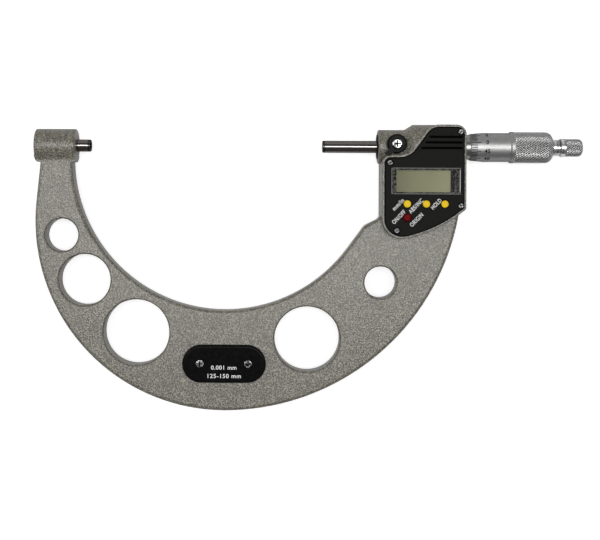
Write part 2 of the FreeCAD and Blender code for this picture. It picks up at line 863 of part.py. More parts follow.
def make_inner_sleeve():
    """Threaded sleeve fixed in the frame, split at its end by saw cuts."""
    flange = rod_x(inner_seat_d, cavity_end_x, wall_right_x)
    body = rod_x(inner_sleeve_d, wall_right_x, sleeve_end_x)
    end = rod_x(split_d, sleeve_end_x, nut_end_x)
    sleeve = flange.fuse([body, end])
    sleeve = sleeve.cut(rod_x(inner_bore_d, cavity_end_x, nut_start_x))
    sleeve = sleeve.cut(rod_x(screw_d + 2 * face_clearance, nut_start_x, nut_end_x))
    for i in range(split_cuts):
        cut = block(sleeve_end_x - split_run_in, nut_end_x, -split_cut / 2, split_cut / 2, 0, split_d)
        cut.rotate(vec(0, 0), X_AXIS, 360 * (i + 0.5) / split_cuts)
        sleeve = sleeve.cut(cut)
    return sleeve


def make_adjusting_nut():
    """Slotted ring that closes the split end and takes up wear."""
    start_x = sleeve_end_x + adjusting_nut_setback
    end_x = start_x + adjusting_nut_width
    nut_d = split_d + 2 * adjusting_nut_wall
    nut = ring_x(nut_d, split_d, start_x, end_x)
    half = adjusting_slot_width / 2
    for i in range(adjusting_slots):
        slot = block(end_x - adjusting_slot_depth, end_x, -half, half, split_d / 2 + adjusting_slot_floor, nut_d)
        slot.rotate(vec(0, 0), X_AXIS, 360 * i / adjusting_slots)
        nut = nut.cut(slot)
    return nut


def make_sleeve():
    """Outer sleeve, with the small hole for its hook spanner on the back."""
    start = wall_right_x + sleeve_gap
    sleeve = ring_x(sleeve_d, inner_sleeve_d, start, sleeve_end_x)
    return sleeve.cut(rod_z(hook_hole_d, -sleeve_d, 0, start + hook_hole_inset, 0))


def toothed_face(x0, facing):
    """Ring of even teeth standing on a face, pointing along +X or -X."""
    teeth = []
    step = 360.0 / ratchet_teeth
    outer = clutch_d / 2
    for i in range(ratchet_teeth):
        start = i * step
        ends = []
        for radius in (outer - tooth_width, outer):
            corners = []
            for angle, height in ((start, 0), (start + step, 0), (start + step / 2, tooth_height * facing)):
                a = radians(angle)
                corners.append(vec(x0 + height, radius * cos(a), radius * sin(a)))
            ends.append(Part.makePolygon(corners + corners[:1]))
        teeth.append(Part.makeLoft(ends, True, True))
    return teeth


def make_ratchet_body():
    """Stem that screws into the spindle, with the smooth neck and the fixed tooth ring."""
    neck_end_x = ratchet_knob_x - ratchet_gap
    neck = rod_x(ratchet_neck_d, thimble_end_x, neck_end_x)
    neck = neck.makeChamfer(ratchet_neck_chamfer, end_edges(neck, thimble_end_x) + end_edges(neck, neck_end_x))
    stud = rod_x(ratchet_stud_d, stud_start_x + ratchet_stud_gap, thimble_end_x)
    collar = rod_x(clutch_d, neck_end_x, wheel_x)
    stem = rod_x(ratchet_stem_d, wheel_x, ratchet_end_x - ratchet_end_wall - ratchet_stem_gap)
    return neck.fuse([stud, collar, stem] + toothed_face(wheel_x, 1)).removeSplitter()


def clutch_key(clearance):
    """Small key on the clutch ring that runs in a slot of the knob."""
    half = clutch_key_width / 2 + clearance
    bottom = clutch_d / 2 - clutch_key_root
    top = clutch_d / 2 + clutch_key_rise + clearance
    return block(clutch_x - clearance, clutch_x + clutch_thickness + clearance, -half, half, bottom, top)


def make_ratchet_clutch():
    """Sliding ring whose teeth slip over the fixed ones."""
    bore_d = ratchet_stem_d + 2 * slide_clearance
    ring = ring_x(clutch_d, bore_d, clutch_x, clutch_x + clutch_thickness)
    teeth = toothed_face(clutch_x, -1)
    for tooth in teeth:
        tooth.rotate(vec(0, 0), X_AXIS, 180.0 / ratchet_teeth)
    return ring.fuse(teeth + [clutch_key(0)]).removeSplitter()


def make_ratchet_knob():
    """Knob over the clutch and the spring, slotted for the clutch's key."""
    inside_d = clutch_d + 2 * slide_clearance
    knob = rod_x(ratchet_knob_d, ratchet_knob_x, ratchet_end_x)
    knob = knob.makeChamfer(ratchet_knob_chamfer, end_edges(knob, ratchet_knob_x))
    knob = knob.makeFillet(ratchet_knob_round, end_edges(knob, ratchet_end_x))
    knob = knob.cut(rod_x(inside_d, ratchet_knob_x, spring_end_x))
    stem_hole_d = ratchet_stem_d + 2 * slide_clearance
    knob = knob.cut(rod_x(stem_hole_d, ratchet_knob_x, ratchet_end_x - ratchet_end_wall))
    key = clutch_key(slide_clearance)
    box = key.BoundBox
    way_in = block(ratchet_knob_x, box.XMax, box.YMin, box.YMax, box.ZMin, box.ZMax)
    return knob.cut(way_in)


def make_ratchet_spring():
    """Coil spring behind the clutch ring, its wire drawn with a few flats."""
    start_x = clutch_x + clutch_thickness
    rise = spring_end_x - start_x - spring_wire_d
    wire_r = spring_wire_d / 2
    mean_r = ratchet_stem_d / 2 + slide_clearance + wire_r + spring_clearance
    pitch = rise / spring_turns
    helix = Part.makeHelix(pitch, rise, mean_r)
    along = vec(0, 1, pitch / (2 * pi * mean_r)).normalize()
    across = along.cross(X_AXIS)
    section = []
    for i in range(spring_flats):
        turn = 2 * pi * i / spring_flats
        section.append(X_AXIS * (mean_r + wire_r * cos(turn)) + across * (wire_r * sin(turn)))
    flats = Part.makePolygon(section + section[:1])
    spring = Part.Wire(helix).makePipeShell([flats], True, True)
    spring.rotate(vec(0, 0), Y_AXIS, 90)
    spring.translate(vec(start_x + wire_r, 0, 0))
    return spring


def cross_recess(x, y, z_top, head_d, depth):
    size = head_d * recess_span
    half = size / 2
    half_width = size * recess_width / 2
    bar = block(x - half, x + half, y - half_width, y + half_width, z_top - depth, z_top)
    other = block(x - half_width, x + half_width, y - half, y + half, z_top - depth, z_top)
    return bar.fuse(other)


def make_lock_lever():
    """Hub in its well on the boss, with the short arm that a thumb turns."""
    hub = rod_z(lock_hub_d, lock_seat_z + lock_lift, lock_hub_z, lock_x, lock_y)
    hub = hub.makeChamfer(lock_hub_chamfer, flat_edges(hub, lock_hub_z))
    half = lock_arm_width / 2
    corner = lock_arm_corner
    arm = outline([(0, -half, 0), (lock_arm_reach, -half, corner), (lock_arm_reach, half, corner), (0, half, 0)])
    arm = prism(arm, housing_front_z + lock_arm_gap, lock_hub_z + lock_arm_rise)
    arm.rotate(vec(0, 0), Z_AXIS, lock_arm_angle)
    arm.translate(vec(lock_x, lock_y))
    lever = hub.fuse([arm]).removeSplitter()
    well_d = lock_screw_head_d + 2 * head_clearance
    lever = lever.cut(rod_z(well_d, lock_screw_seat_z, lock_hub_z + lock_arm_rise, lock_x, lock_y))
    return lever.cut(rod_z(lock_screw_d, lock_seat_z, lock_hub_z, lock_x, lock_y))


def make_lock_screw():
    top = lock_screw_seat_z + lock_screw_head
    head = rod_z(lock_screw_head_d, lock_screw_seat_z, top, lock_x, lock_y)
    head = head.makeFillet(lock_screw_round, flat_edges(head, top))
    shank = rod_z(lock_screw_d, lock_seat_z - lock_screw_bite, lock_screw_seat_z, lock_x, lock_y)
    recess = cross_recess(lock_x, lock_y, top, lock_screw_head_d, recess_depth * lock_screw_head)
    return head.fuse([shank]).cut(recess).removeSplitter()


def make_lock_stud():
    """Stud keyed to the lever, which presses the pad down."""
    bottom = spindle_d / 2 + lock_pad_height + lock_lift
    top = lock_seat_z + lock_lift
    stud = rod_z(lock_stud_d - 2 * lock_stud_fit, bottom, top, lock_x, lock_y)
    return stud.cut(rod_z(lock_screw_d, lock_seat_z - lock_screw_bite, top, lock_x, lock_y))


def make_lock_pad():
    """Brass pad, hollowed to the spindle that it presses on."""
    spindle_top = spindle_d / 2
    pad = rod_z(lock_stud_d - 2 * slide_clearance, spindle_top - lock_pad_wrap, spindle_top + lock_pad_height,
                lock_x, lock_y)
    return pad.cut(rod_x(spindle_d + 2 * lock_pad_fit, lock_x - lock_stud_d, lock_x + lock_stud_d))


def make_encoder_rotor():
    disc = rod_x(rotor_d, rotor_x, rotor_x + rotor_thickness)
    hub = rod_x(hub_d, rotor_x + rotor_thickness, hub_end_x)
    rotor = disc.fuse([hub]).cut(rod_x(spindle_bore_d, rotor_x, hub_end_x))
    half = key_width / 2
    return rotor.cut(block(key_start_x, key_end_x, -half, half, 0, hub_d))


def make_rotor_key():
    """Key that turns the encoder with the spindle and lets it slide."""
    half = key_width / 2 - face_clearance
    bottom = spindle_d / 2 - key_depth + key_root_gap
    return block(key_start_x, key_end_x, -half, half, bottom, hub_d / 2 - key_top_gap)


def make_rotor_ring():
    """Ring that keeps the rotor's hub from drifting along the spindle."""
    bore_d = spindle_bore_d + 2 * rotor_ring_bore_gap
    return ring_x(hub_d + 2 * rotor_ring_wall, bore_d, hub_end_x + rotor_ring_gap, cavity_end_x)


def make_encoder_stator():
    outer_d = 2 * (cavity_radius - stator_rim_gap)
    return ring_x(outer_d, bush_d + 2 * stator_bore_gap, stator_start_x, stator_end_x)


def make_stator_holder():
    """Moulded ring that holds the stator board square in the cavity."""
    neck = ring_x(bush_d + 2 * holder_wall, bush_d, cavity_start_x, stator_start_x)
    flange_d = 2 * (cavity_radius - stator_rim_gap)
    return neck.fuse(ring_x(flange_d, bush_d, stator_start_x - holder_flange, stator_start_x))


def make_circuit_board():
    board = prism(cover_outline(-pocket_inset - board_gap), board_seat_z, board_top_z)
    above_y = window_top_y + board_above_window
    board = board.cut(block(wall_left_x, cover_right_x, above_y, cover_top_y, board_seat_z, board_top_z))
    for x, y in cover_screws_at:
        notch_d = cover_screw_d + 2 * (post_wall + board_gap)
        board = board.cut(rod_z(notch_d, board_seat_z, board_top_z, x, y))
    return board


def make_tact_switches():
    """Four push switches on the board, one under each button."""
    half = switch_width / 2
    body_top_z = switch_top_z - switch_nib
    switches = []
    for x, y in button_centres:
        base = block(x - half, x + half, y - half, y + half, board_top_z, body_top_z)
        nib = rod_z(button_stem_d, body_top_z, switch_top_z, x, y)
        switches.append(base.fuse(nib).removeSplitter())
    return Part.makeCompound(switches)


def make_button(x, y):
    """Button cap with the flange that keeps it behind the cover, and its stem."""
    flange_top = housing_front_z - button_flange_gap
    flange_bottom = flange_top - button_flange
    cap_top = cover_front_z + button_rise
    cap = rod_z(button_d, flange_bottom, cap_top, x, y)
    cap = cap.makeFillet(button_round, flat_edges(cap, cap_top))
    flange = rod_z(button_d + 2 * button_flange_rim, flange_bottom, flange_top, x, y)
    stem = rod_z(button_stem_d, switch_top_z + button_travel + switch_gap, flange_bottom, x, y)
    return cap.fuse([flange, stem]).removeSplitter()


def make_display_cover():
    """Flat black cover with the window, button and screw holes, and three slanting-ended grooves."""
    cover = prism(cover_outline(), housing_front_z, cover_front_z)
    cover = cover.makeFillet(cover_edge_round, flat_edges(cover, cover_front_z))
    opening = rectangle(window_left_x, window_right_x, window_bottom_y, window_top_y, window_corner)
    cover = cover.cut(prism(opening, housing_front_z, cover_front_z))
    for x, y in button_centres:
        cover = cover.cut(rod_z(button_d + 2 * button_fit, housing_front_z, cover_front_z, x, y))
    for x, y in cover_screws_at:
        cover = cover.cut(rod_z(cover_screw_d, housing_front_z, cover_front_z, x, y))
        well_d = cover_screw_head_d + 2 * head_clearance
        cover = cover.cut(rod_z(well_d, cover_front_z - cover_screw_sink, cover_front_z, x, y))
    slope = (cover_top_y - cover_step_y) / (step_high_x - step_low_x)
    for i in range(groove_count):
        y = groove_first_y - i * groove_pitch
        start = step_low_x + (y - cover_step_y) / slope + groove_start_gap
        end = cover_right_x - groove_end_gap
        groove = block(start, end, y - groove_width / 2, y + groove_width / 2, cover_front_z - groove_depth,
                       cover_front_z)
        cover = cover.cut(groove)
    return cover


def pan_screw(x, y, seat_z, head_d, head, shank_d, shank):
    """Small screw: rounded head, plain shank for the thread, cross recess."""
    top = seat_z + head
    cap = rod_z(head_d, seat_z, top, x, y)
    cap = cap.makeFillet(head * head_round, flat_edges(cap, top))
    stem = rod_z(shank_d, seat_z - shank, seat_z, x, y)
    return cap.fuse([stem]).cut(cross_recess(x, y, top, head_d, head * recess_depth)).removeSplitter()


def make_cover_screws():
    seat = cover_front_z - cover_screw_sink
    shank = cover_thickness - cover_screw_sink + cover_screw_bite
    screws = []
    for x, y in cover_screws_at:
        screws.append(pan_screw(x, y, seat, cover_screw_head_d, cover_screw_head, cover_screw_d, shank))
    return Part.makeCompound(screws)


def window_wire():
    """Outline of what fits in the cover's window."""
    return rectangle(window_left_x + window_fit, window_right_x - window_fit, window_bottom_y + window_fit,
                     window_top_y - window_fit, window_corner)


def make_window_lens():
    top = cover_front_z + lens_rise
    lens = prism(window_wire(), bezel_front_z, top)
    return lens.makeChamfer(lens_bevel, flat_edges(lens, top))


def make_lcd_bezel():
    """Grey frame between the window and the glass, with a groove right of the digits."""
    body = prism(window_wire(), bezel_back_z, bezel_front_z)
    lip = block(window_left_x + bezel_lip_inset, window_right_x - bezel_lip_inset, window_bottom_y - bezel_lip,
                window_top_y + bezel_lip, bezel_back_z, housing_front_z)
    glass = rectangle(glass_left_x, glass_right_x, glass_bottom_y, glass_top_y, glass_corner)
    groove_x = glass_right_x + bezel_groove_gap
    groove = block(groove_x, groove_x + bezel_groove_width, glass_bottom_y, glass_top_y,
                   bezel_front_z - bezel_groove_depth, bezel_front_z)
    return body.fuse([lip]).cut(prism(glass, bezel_back_z, bezel_front_z)).cut(groove)


def make_lcd_panel():
    return block(glass_left_x - glass_margin, glass_right_x + glass_margin, glass_bottom_y - glass_margin,
                 glass_top_y + glass_margin, glass_back_z, bezel_back_z)


def make_contact_strips():
    """Rubber strips that join the glass to the board, above and below the digits."""
    strips = []
    for y in (glass_top_y + strip_offset, glass_bottom_y - strip_offset - strip_width):
        strips.append(block(glass_left_x, glass_right_x, y, y + strip_width, board_top_z, glass_back_z))
    return Part.makeCompound(strips)


def make_control_chip():
    x = (glass_left_x + glass_right_x) / 2
    y = (glass_top_y + glass_bottom_y) / 2
    half = chip_size / 2
    return block(x - half, x + half, y - half, y + half, board_top_z, board_top_z + chip_height)


def make_battery():
    """Button cell, its smaller pole towards the board."""
    step_z = battery_top_z - battery_rim_height
    can = rod_z(battery_d, cap_inner_z, step_z, battery_x, battery_y)
    can = can.makeFillet(battery_round, flat_edges(can, step_z))
    pole = rod_z(battery_d - 2 * battery_rim_step, step_z, battery_top_z, battery_x, battery_y)
    return can.fuse([pole]).removeSplitter()


def make_battery_contact_top():
    tab = rod_z(contact_d, battery_top_z, battery_roof_z, battery_x, battery_y)
    pin = rod_z(contact_pin_d, battery_roof_z, board_seat_z, battery_x, battery_y)
    return tab.fuse([pin]).removeSplitter()


def make_battery_contact_side():
    half = contact_width / 2
    return block(side_contact_x, side_contact_x + contact_thickness, battery_y - half, battery_y + half,
                 side_contact_z, board_seat_z)


def make_battery_cap():
    """Threaded cap with a slot for a coin."""
    head_top = housing_back_z + cap_head
    head = rod_z(cap_d - 2 * cap_rim_gap, housing_back_z, head_top, battery_x, battery_y)
    head = head.makeFillet(cap_round, flat_edges(head, housing_back_z))
    neck = rod_z(cap_neck_d, head_top, cap_inner_z, battery_x, battery_y)
    half_length = coin_slot_length / 2
    half_width = coin_slot_width / 2
    slot = block(battery_x - half_length, battery_x + half_length, battery_y - half_width,
                 battery_y + half_width, housing_back_z, housing_back_z + coin_slot_depth)
    return head.fuse([neck]).cut(slot).removeSplitter()


def make_battery_cap_seal():
    bottom = housing_back_z + cap_head
    ring = rod_z(cap_d - 2 * cap_rim_gap, bottom, cap_ledge_z, battery_x, battery_y)
    return ring.cut(rod_z(cap_neck_d, bottom, cap_ledge_z, battery_x, battery_y))


def make_grip_plate():
    plate = prism(slot_outline(plate_x, plate_y, plate_length, plate_width), bow_half_thickness, plate_top_z)
    plate = plate.makeFillet(plate_round, flat_edges(plate, plate_top_z))
    for x, y in plate_screws_at:
        plate = plate.cut(rod_z(plate_screw_d, bow_half_thickness, plate_top_z, x, y))
        well_d = plate_screw_head_d + 2 * head_clearance
        plate = plate.cut(rod_z(well_d, plate_top_z - plate_screw_sink, plate_top_z, x, y))
    return plate


def make_plate_screws():
    seat = plate_top_z - plate_screw_sink
    shank = plate_thickness - plate_screw_sink + plate_screw_bite
    screws = []
    for x, y in plate_screws_at:
        screws.append(pan_screw(x, y, seat, plate_screw_head_d, plate_screw_head, plate_screw_d, shank))
    return Part.makeCompound(screws)


anvil_side_makers = {
    "frame": make_frame,
    "anvil": make_anvil,
    "anvil_tip": make_anvil_tip,
    "grip_plate": make_grip_plate,
    "plate_screws": make_plate_screws,
}

spindle_side_makers = {
    "spindle": make_spindle,
    "spindle_tip": make_spindle_tip,
    "spindle_bush": make_spindle_bush,
    "spindle_seal": make_spindle_seal,
    "lock_lever": make_lock_lever,
    "lock_screw": make_lock_screw,
    "lock_stud": make_lock_stud,
    "lock_pad": make_lock_pad,
    "inner_sleeve": make_inner_sleeve,
    "adjusting_nut": make_adjusting_nut,
    "sleeve": make_sleeve,
    "thimble": make_thimble,
    "ratchet_body": make_ratchet_body,
    "ratchet_clutch": make_ratchet_clutch,
    "ratchet_spring": make_ratchet_spring,
    "ratchet_knob": make_ratchet_knob,
    "encoder_rotor": make_encoder_rotor,
    "rotor_key": make_rotor_key,
    "rotor_ring": make_rotor_ring,
    "encoder_stator": make_encoder_stator,
    "stator_holder": make_stator_holder,
    "circuit_board": make_circuit_board,
    "tact_switches": make_tact_switches,
    "control_chip": make_control_chip,
    "contact_strips": make_contact_strips,
    "lcd_panel": make_lcd_panel,
    "lcd_bezel": make_lcd_bezel,
    "window_lens": make_window_lens,
    "display_cover": make_display_cover,
    "cover_screws": make_cover_screws,
    "battery": make_battery,
    "battery_contact_top": make_battery_contact_top,
    "battery_contact_side": make_battery_contact_side,
    "battery_cap": make_battery_cap,
    "battery_cap_seal": make_battery_cap_seal,
}


def keep(name, shape):
    """Print what was made, and write it as its own file."""
    print(name, shape.isValid(), len(shape.Solids), round(shape.Volume, 1))
    shape.exportStep("parts/" + name + ".step")


for name, make in anvil_side_makers.items():
    keep(name, make())

for name, make in spindle_side_makers.items():
    keep(name, past_gap(make()))

for name, (x, y) in zip(button_names, button_centres):
    keep(name, past_gap(make_button(x, y)))
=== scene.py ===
# %% [markdown]
# # A digital outside micrometer, dressed for its picture
#
# The solids of this tool come from a CAD model: the cast bow, the housing with its display, the thimble
# and the ratchet. They are right in size and place, so nothing here moves or reshapes them. This lesson
# adds what an eye looks for next: hammered paint, ground steel, knurling, scales, words, light and a camera.
# Every length below is in metres, because that is Blender's unit, and MM turns millimetres into it.

# %% Load the solids
import json
import math

import bpy
from mathutils import Matrix, Vector


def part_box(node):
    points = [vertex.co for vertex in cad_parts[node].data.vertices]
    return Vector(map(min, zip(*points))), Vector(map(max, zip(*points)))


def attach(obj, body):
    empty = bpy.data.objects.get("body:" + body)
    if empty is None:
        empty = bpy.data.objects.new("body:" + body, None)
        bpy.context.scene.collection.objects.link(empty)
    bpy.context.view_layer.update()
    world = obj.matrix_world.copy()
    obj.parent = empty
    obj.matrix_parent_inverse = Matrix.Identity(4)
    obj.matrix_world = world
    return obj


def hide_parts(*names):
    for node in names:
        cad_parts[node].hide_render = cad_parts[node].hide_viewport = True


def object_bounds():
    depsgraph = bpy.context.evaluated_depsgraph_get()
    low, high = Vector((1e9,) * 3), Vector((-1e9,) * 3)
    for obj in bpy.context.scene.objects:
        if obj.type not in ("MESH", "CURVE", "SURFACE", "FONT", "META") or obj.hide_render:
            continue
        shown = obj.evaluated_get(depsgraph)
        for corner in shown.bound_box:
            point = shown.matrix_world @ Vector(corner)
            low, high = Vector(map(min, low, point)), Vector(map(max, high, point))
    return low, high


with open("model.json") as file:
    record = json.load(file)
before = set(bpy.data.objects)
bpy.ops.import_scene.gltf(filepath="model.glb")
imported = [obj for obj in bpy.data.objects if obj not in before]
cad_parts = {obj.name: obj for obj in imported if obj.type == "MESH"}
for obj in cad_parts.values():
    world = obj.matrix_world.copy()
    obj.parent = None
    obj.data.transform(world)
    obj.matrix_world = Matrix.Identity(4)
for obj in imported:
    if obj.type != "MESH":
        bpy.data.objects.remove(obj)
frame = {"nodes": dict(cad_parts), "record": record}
cad_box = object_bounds()
MM = 0.001
print("CAD box in mm:", [[round(v / MM, 1) for v in corner] for corner in cad_box])

# %% [markdown]
# ## A finish that isn't one flat colour
#
# Real metal, paint and plastic vary a little from place to place. A noise texture in Object coordinates
# gives that: it is tied to the piece, so it rides along when the piece moves. One helper makes every
# finish, and stretching its coordinates turns round grain into the long scratches of a ground bar.

# %% The helper for all finishes


def mix_colours(nodes, links, factor, low, high):
    """A colour ramp from one colour to another, driven by a factor."""
    ramp = nodes.new("ShaderNodeValToRGB")
    ramp.color_ramp.elements[0].color = (*low, 1.0)
    ramp.color_ramp.elements[1].color = (*high, 1.0)
    links.new(factor, ramp.inputs["Fac"])
    return ramp


BUMP_DEPTH = 0.05 * MM


def finish(name, low, high, roughness, metallic=0.0, grain=1.0, stretch=(1, 1, 1), bump=0.0, specular=0.5,
           alpha=1.0, contrast=(0.3, 0.7), edge=1.0):
    """A material whose colour and roughness wander between two values.

    grain is in millimetres, contrast is the stretch of the noise in which the colour changes, and edge is
    how much of its gloss a metal keeps where it turns away.
    """
    material = bpy.data.materials.new(name)
    material.use_nodes = True
    nodes, links = material.node_tree.nodes, material.node_tree.links
    shader = nodes["Principled BSDF"]
    shader.inputs["Metallic"].default_value = metallic
    shader.inputs["Specular IOR Level"].default_value = specular
    shader.inputs["Alpha"].default_value = alpha
    shader.inputs["Specular Tint"].default_value = (edge, edge, edge, 1.0)
    place = nodes.new("ShaderNodeTexCoord")
    mapping = nodes.new("ShaderNodeMapping")
    mapping.inputs["Scale"].default_value = stretch
    noise = nodes.new("ShaderNodeTexNoise")
    noise.inputs["Scale"].default_value = 1 / (grain * MM)
    noise.inputs["Detail"].default_value = 4.0
    links.new(place.outputs["Object"], mapping.inputs["Vector"])
    links.new(mapping.outputs["Vector"], noise.inputs["Vector"])
    ramp = mix_colours(nodes, links, noise.outputs["Fac"], low, high)
    ramp.color_ramp.elements[0].position = contrast[0]
    ramp.color_ramp.elements[1].position = contrast[1]
    links.new(ramp.outputs["Color"], shader.inputs["Base Color"])
    sheen = nodes.new("ShaderNodeMapRange")
    sheen.inputs["To Min"].default_value = roughness[0]
    sheen.inputs["To Max"].default_value = roughness[1]
    links.new(noise.outputs["Fac"], sheen.inputs["Value"])
    links.new(sheen.outputs["Result"], shader.inputs["Roughness"])
    if bump:
        relief = nodes.new("ShaderNodeBump")
        relief.inputs["Strength"].default_value = bump
        relief.inputs["Distance"].default_value = BUMP_DEPTH
        links.new(noise.outputs["Fac"], relief.inputs["Height"])
        links.new(relief.outputs["Normal"], shader.inputs["Normal"])
    return material


# %% [markdown]
# ## Hammered enamel on the casting
#
# The bow is cast iron sprayed with an enamel that dries in small dimples, each with a bright rim and a
# dark hollow. Voronoi cells give the dimples their size, a noise keeps them from looking like tiles, and
# both feed one bump, so that light does most of the work. The same pattern also makes the colour darker in
# the hollows and lighter on the rims: partly the enamel's own speckle, partly painted shade and painted
# highlight.

# %% The enamel


def hammered_enamel():
    """Grey-green enamel with fine dimples, painted darker in their hollows and lighter on their rims."""
    dimple = 0.68
    speckle = 0.34
    depth = 0.16
    material = bpy.data.materials.new("hammered_enamel")
    material.use_nodes = True
    nodes, links = material.node_tree.nodes, material.node_tree.links
    shader = nodes["Principled BSDF"]
    shader.inputs["Roughness"].default_value = 0.3
    shader.inputs["Specular IOR Level"].default_value = 0.6
    place = nodes.new("ShaderNodeTexCoord")
    cells = nodes.new("ShaderNodeTexVoronoi")
    cells.feature = "SMOOTH_F1"
    cells.inputs["Scale"].default_value = 1 / (dimple * MM)
    cells.inputs["Smoothness"].default_value = 0.5
    wander = nodes.new("ShaderNodeTexNoise")
    wander.inputs["Scale"].default_value = 1 / (speckle * MM)
    wander.inputs["Detail"].default_value = 3.0
    links.new(place.outputs["Object"], cells.inputs["Vector"])
    links.new(place.outputs["Object"], wander.inputs["Vector"])
    height = nodes.new("ShaderNodeMath")
    height.operation = "MULTIPLY"
    links.new(cells.outputs["Distance"], height.inputs[0])
    links.new(wander.outputs["Fac"], height.inputs[1])
    # The colour follows the dimple height: painted shade in the hollows and painted highlight on the rims,
    # over the enamel's own speckle.
    ramp = mix_colours(nodes, links, height.outputs[0], (0.056, 0.053, 0.042), (0.335, 0.318, 0.258))
    ramp.color_ramp.elements[0].position = 0.14
    ramp.color_ramp.elements[1].position = 0.39
    links.new(ramp.outputs["Color"], shader.inputs["Base Color"])
    relief = nodes.new("ShaderNodeBump")
    relief.inputs["Strength"].default_value = 0.9
    relief.inputs["Distance"].default_value = depth * MM
    links.new(height.outputs[0], relief.inputs["Height"])
    links.new(relief.outputs["Normal"], shader.inputs["Normal"])
    return material


# %% [markdown]
# ## The blank display
#
# A reflective display that is switched off is an even olive grey. The one in the photograph grows a little
# brighter towards its right end, as the room lies in its glass. A ramp along X paints that reflection into
# the colour, with a noise.

# %% The display


def blank_display():
    """Olive grey with a painted reflection that brightens it from the left end of the display to the right.
    """
    display_left, display_right = 162.7, 194.4
    material = finish("blank_display", (0.26, 0.262, 0.14), (0.45, 0.453, 0.255), (0.3, 0.4), grain=9.0,
                      specular=0.06, contrast=(0.2, 0.95))
    nodes, links = material.node_tree.nodes, material.node_tree.links
    # The ramp along X is a painted reflection of the room, mixed with the noise.
    split = nodes.new("ShaderNodeSeparateXYZ")
    along = nodes.new("ShaderNodeMapRange")
    along.inputs["From Min"].default_value = display_left * MM
    along.inputs["From Max"].default_value = display_right * MM
    blend = nodes.new("ShaderNodeMix")
    blend.inputs["Factor"].default_value = 0.25
    links.new(nodes["Texture Coordinate"].outputs["Object"], split.inputs["Vector"])
    links.new(split.outputs["X"], along.inputs["Value"])
    links.new(along.outputs["Result"], blend.inputs["A"])
    links.new(nodes["Noise Texture"].outputs["Fac"], blend.inputs["B"])
    links.new(blend.outputs["Result"], nodes["Color Ramp"].inputs["Fac"])
    return material


# %% [markdown]
# ## One finish for each kind of stuff
#
# The CAD record says which stuff each piece is made of, by the name of a slot. The table below gives each
# slot its finish, so hardly a piece has to be coloured by hand. Turned metals get fine rings by stretching
# the grain: a small number across X draws it out round the measuring line. Satin chrome is rough enough
# to spread the lamp over a third of the drum, while the ground spindle keeps it a narrow stripe.

# %% The finishes
ROUND_X = (1, 0.25, 0.25)
finishes = {
    "frame_paint": hammered_enamel(),
    "cover_black": finish("satin_black", (0.0095, 0.0095, 0.009), (0.0155, 0.0155, 0.0145), (0.42, 0.56),
                          grain=0.5, bump=0.15, specular=0.03),
    "spindle_steel": finish("ground_steel", (0.2, 0.186, 0.178), (0.28, 0.262, 0.252), (0.08, 0.14), 1.0,
                            grain=0.4, stretch=ROUND_X, bump=0.06, edge=0.0),
    "carbide": finish("lapped_carbide", (0.07, 0.069, 0.072), (0.12, 0.118, 0.122), (0.14, 0.24), 1.0,
                      grain=0.3, edge=0.0),
    "satin_chrome": finish("satin_chrome", (0.4, 0.404, 0.398), (0.5, 0.505, 0.497), (0.42, 0.52), 1.0,
                           grain=0.6, stretch=ROUND_X, bump=0.05, edge=0.05),
    "bright_chrome": finish("bright_chrome", (0.04, 0.04, 0.041), (0.36, 0.362, 0.366), (0.12, 0.26), 1.0,
                            grain=1.6, contrast=(0.42, 0.58), edge=0.05),
    "bare_steel": finish("turned_steel", (0.42, 0.42, 0.42), (0.58, 0.58, 0.57), (0.25, 0.38), 1.0,
                         grain=0.5),
    "spring_steel": finish("spring_wire", (0.5, 0.5, 0.5), (0.64, 0.64, 0.63), (0.2, 0.32), 1.0, grain=0.4),
    "brass": finish("turned_brass", (0.55, 0.40, 0.17), (0.72, 0.55, 0.26), (0.22, 0.36), 1.0, grain=0.5),
    "black_steel": finish("black_oxide", (0.004, 0.004, 0.004), (0.009, 0.009, 0.0085), (0.2, 0.34),
                          grain=0.8, specular=0.04),
    "seal_rubber": finish("seal_rubber", (0.006, 0.006, 0.006), (0.014, 0.014, 0.013), (0.5, 0.7),
                          grain=0.4, specular=0.08),
    "button_yellow": finish("yellow_moulding", (0.84, 0.55, 0.006), (0.93, 0.63, 0.01), (0.25, 0.36),
                            grain=1.0, specular=0.08),
    "button_red": finish("red_moulding", (0.13, 0.001, 0.0015), (0.19, 0.002, 0.003), (0.25, 0.36),
                         grain=1.0, specular=0.02),
    "window_clear": finish("clear_window", (0.06, 0.062, 0.055), (0.09, 0.092, 0.08), (0.06, 0.12),
                           grain=3.0, specular=0.2, alpha=0.1),
    "display_glass": blank_display(),
    "bezel_grey": finish("grey_moulding", (0.004, 0.004, 0.003), (0.13, 0.13, 0.11), (0.4, 0.6),
                         grain=1.1, bump=0.2, specular=0.05, contrast=(0.42, 0.58)),
    "board_green": finish("solder_mask", (0.012, 0.09, 0.035), (0.022, 0.13, 0.055), (0.25, 0.4), grain=1.5),
    "chip_black": finish("moulded_black", (0.012, 0.012, 0.012), (0.024, 0.024, 0.024), (0.4, 0.6),
                         grain=0.5),
    "insulator_black": finish("glossy_black", (0.004, 0.004, 0.004), (0.008, 0.008, 0.008), (0.1, 0.2),
                              grain=2.0, specular=0.04),
    "cell_steel": finish("nickel_can", (0.55, 0.55, 0.53), (0.68, 0.68, 0.66), (0.16, 0.28), 1.0, grain=0.8),
}
print(len(finishes), "finishes")

# %% [markdown]
# ## Pieces that differ from their kind
#
# Three pieces share a slot with others but look different on the real tool. The sleeve and the ratchet's
# neck are polished where the drum is satin, and the small screws of the cover have gone dull.

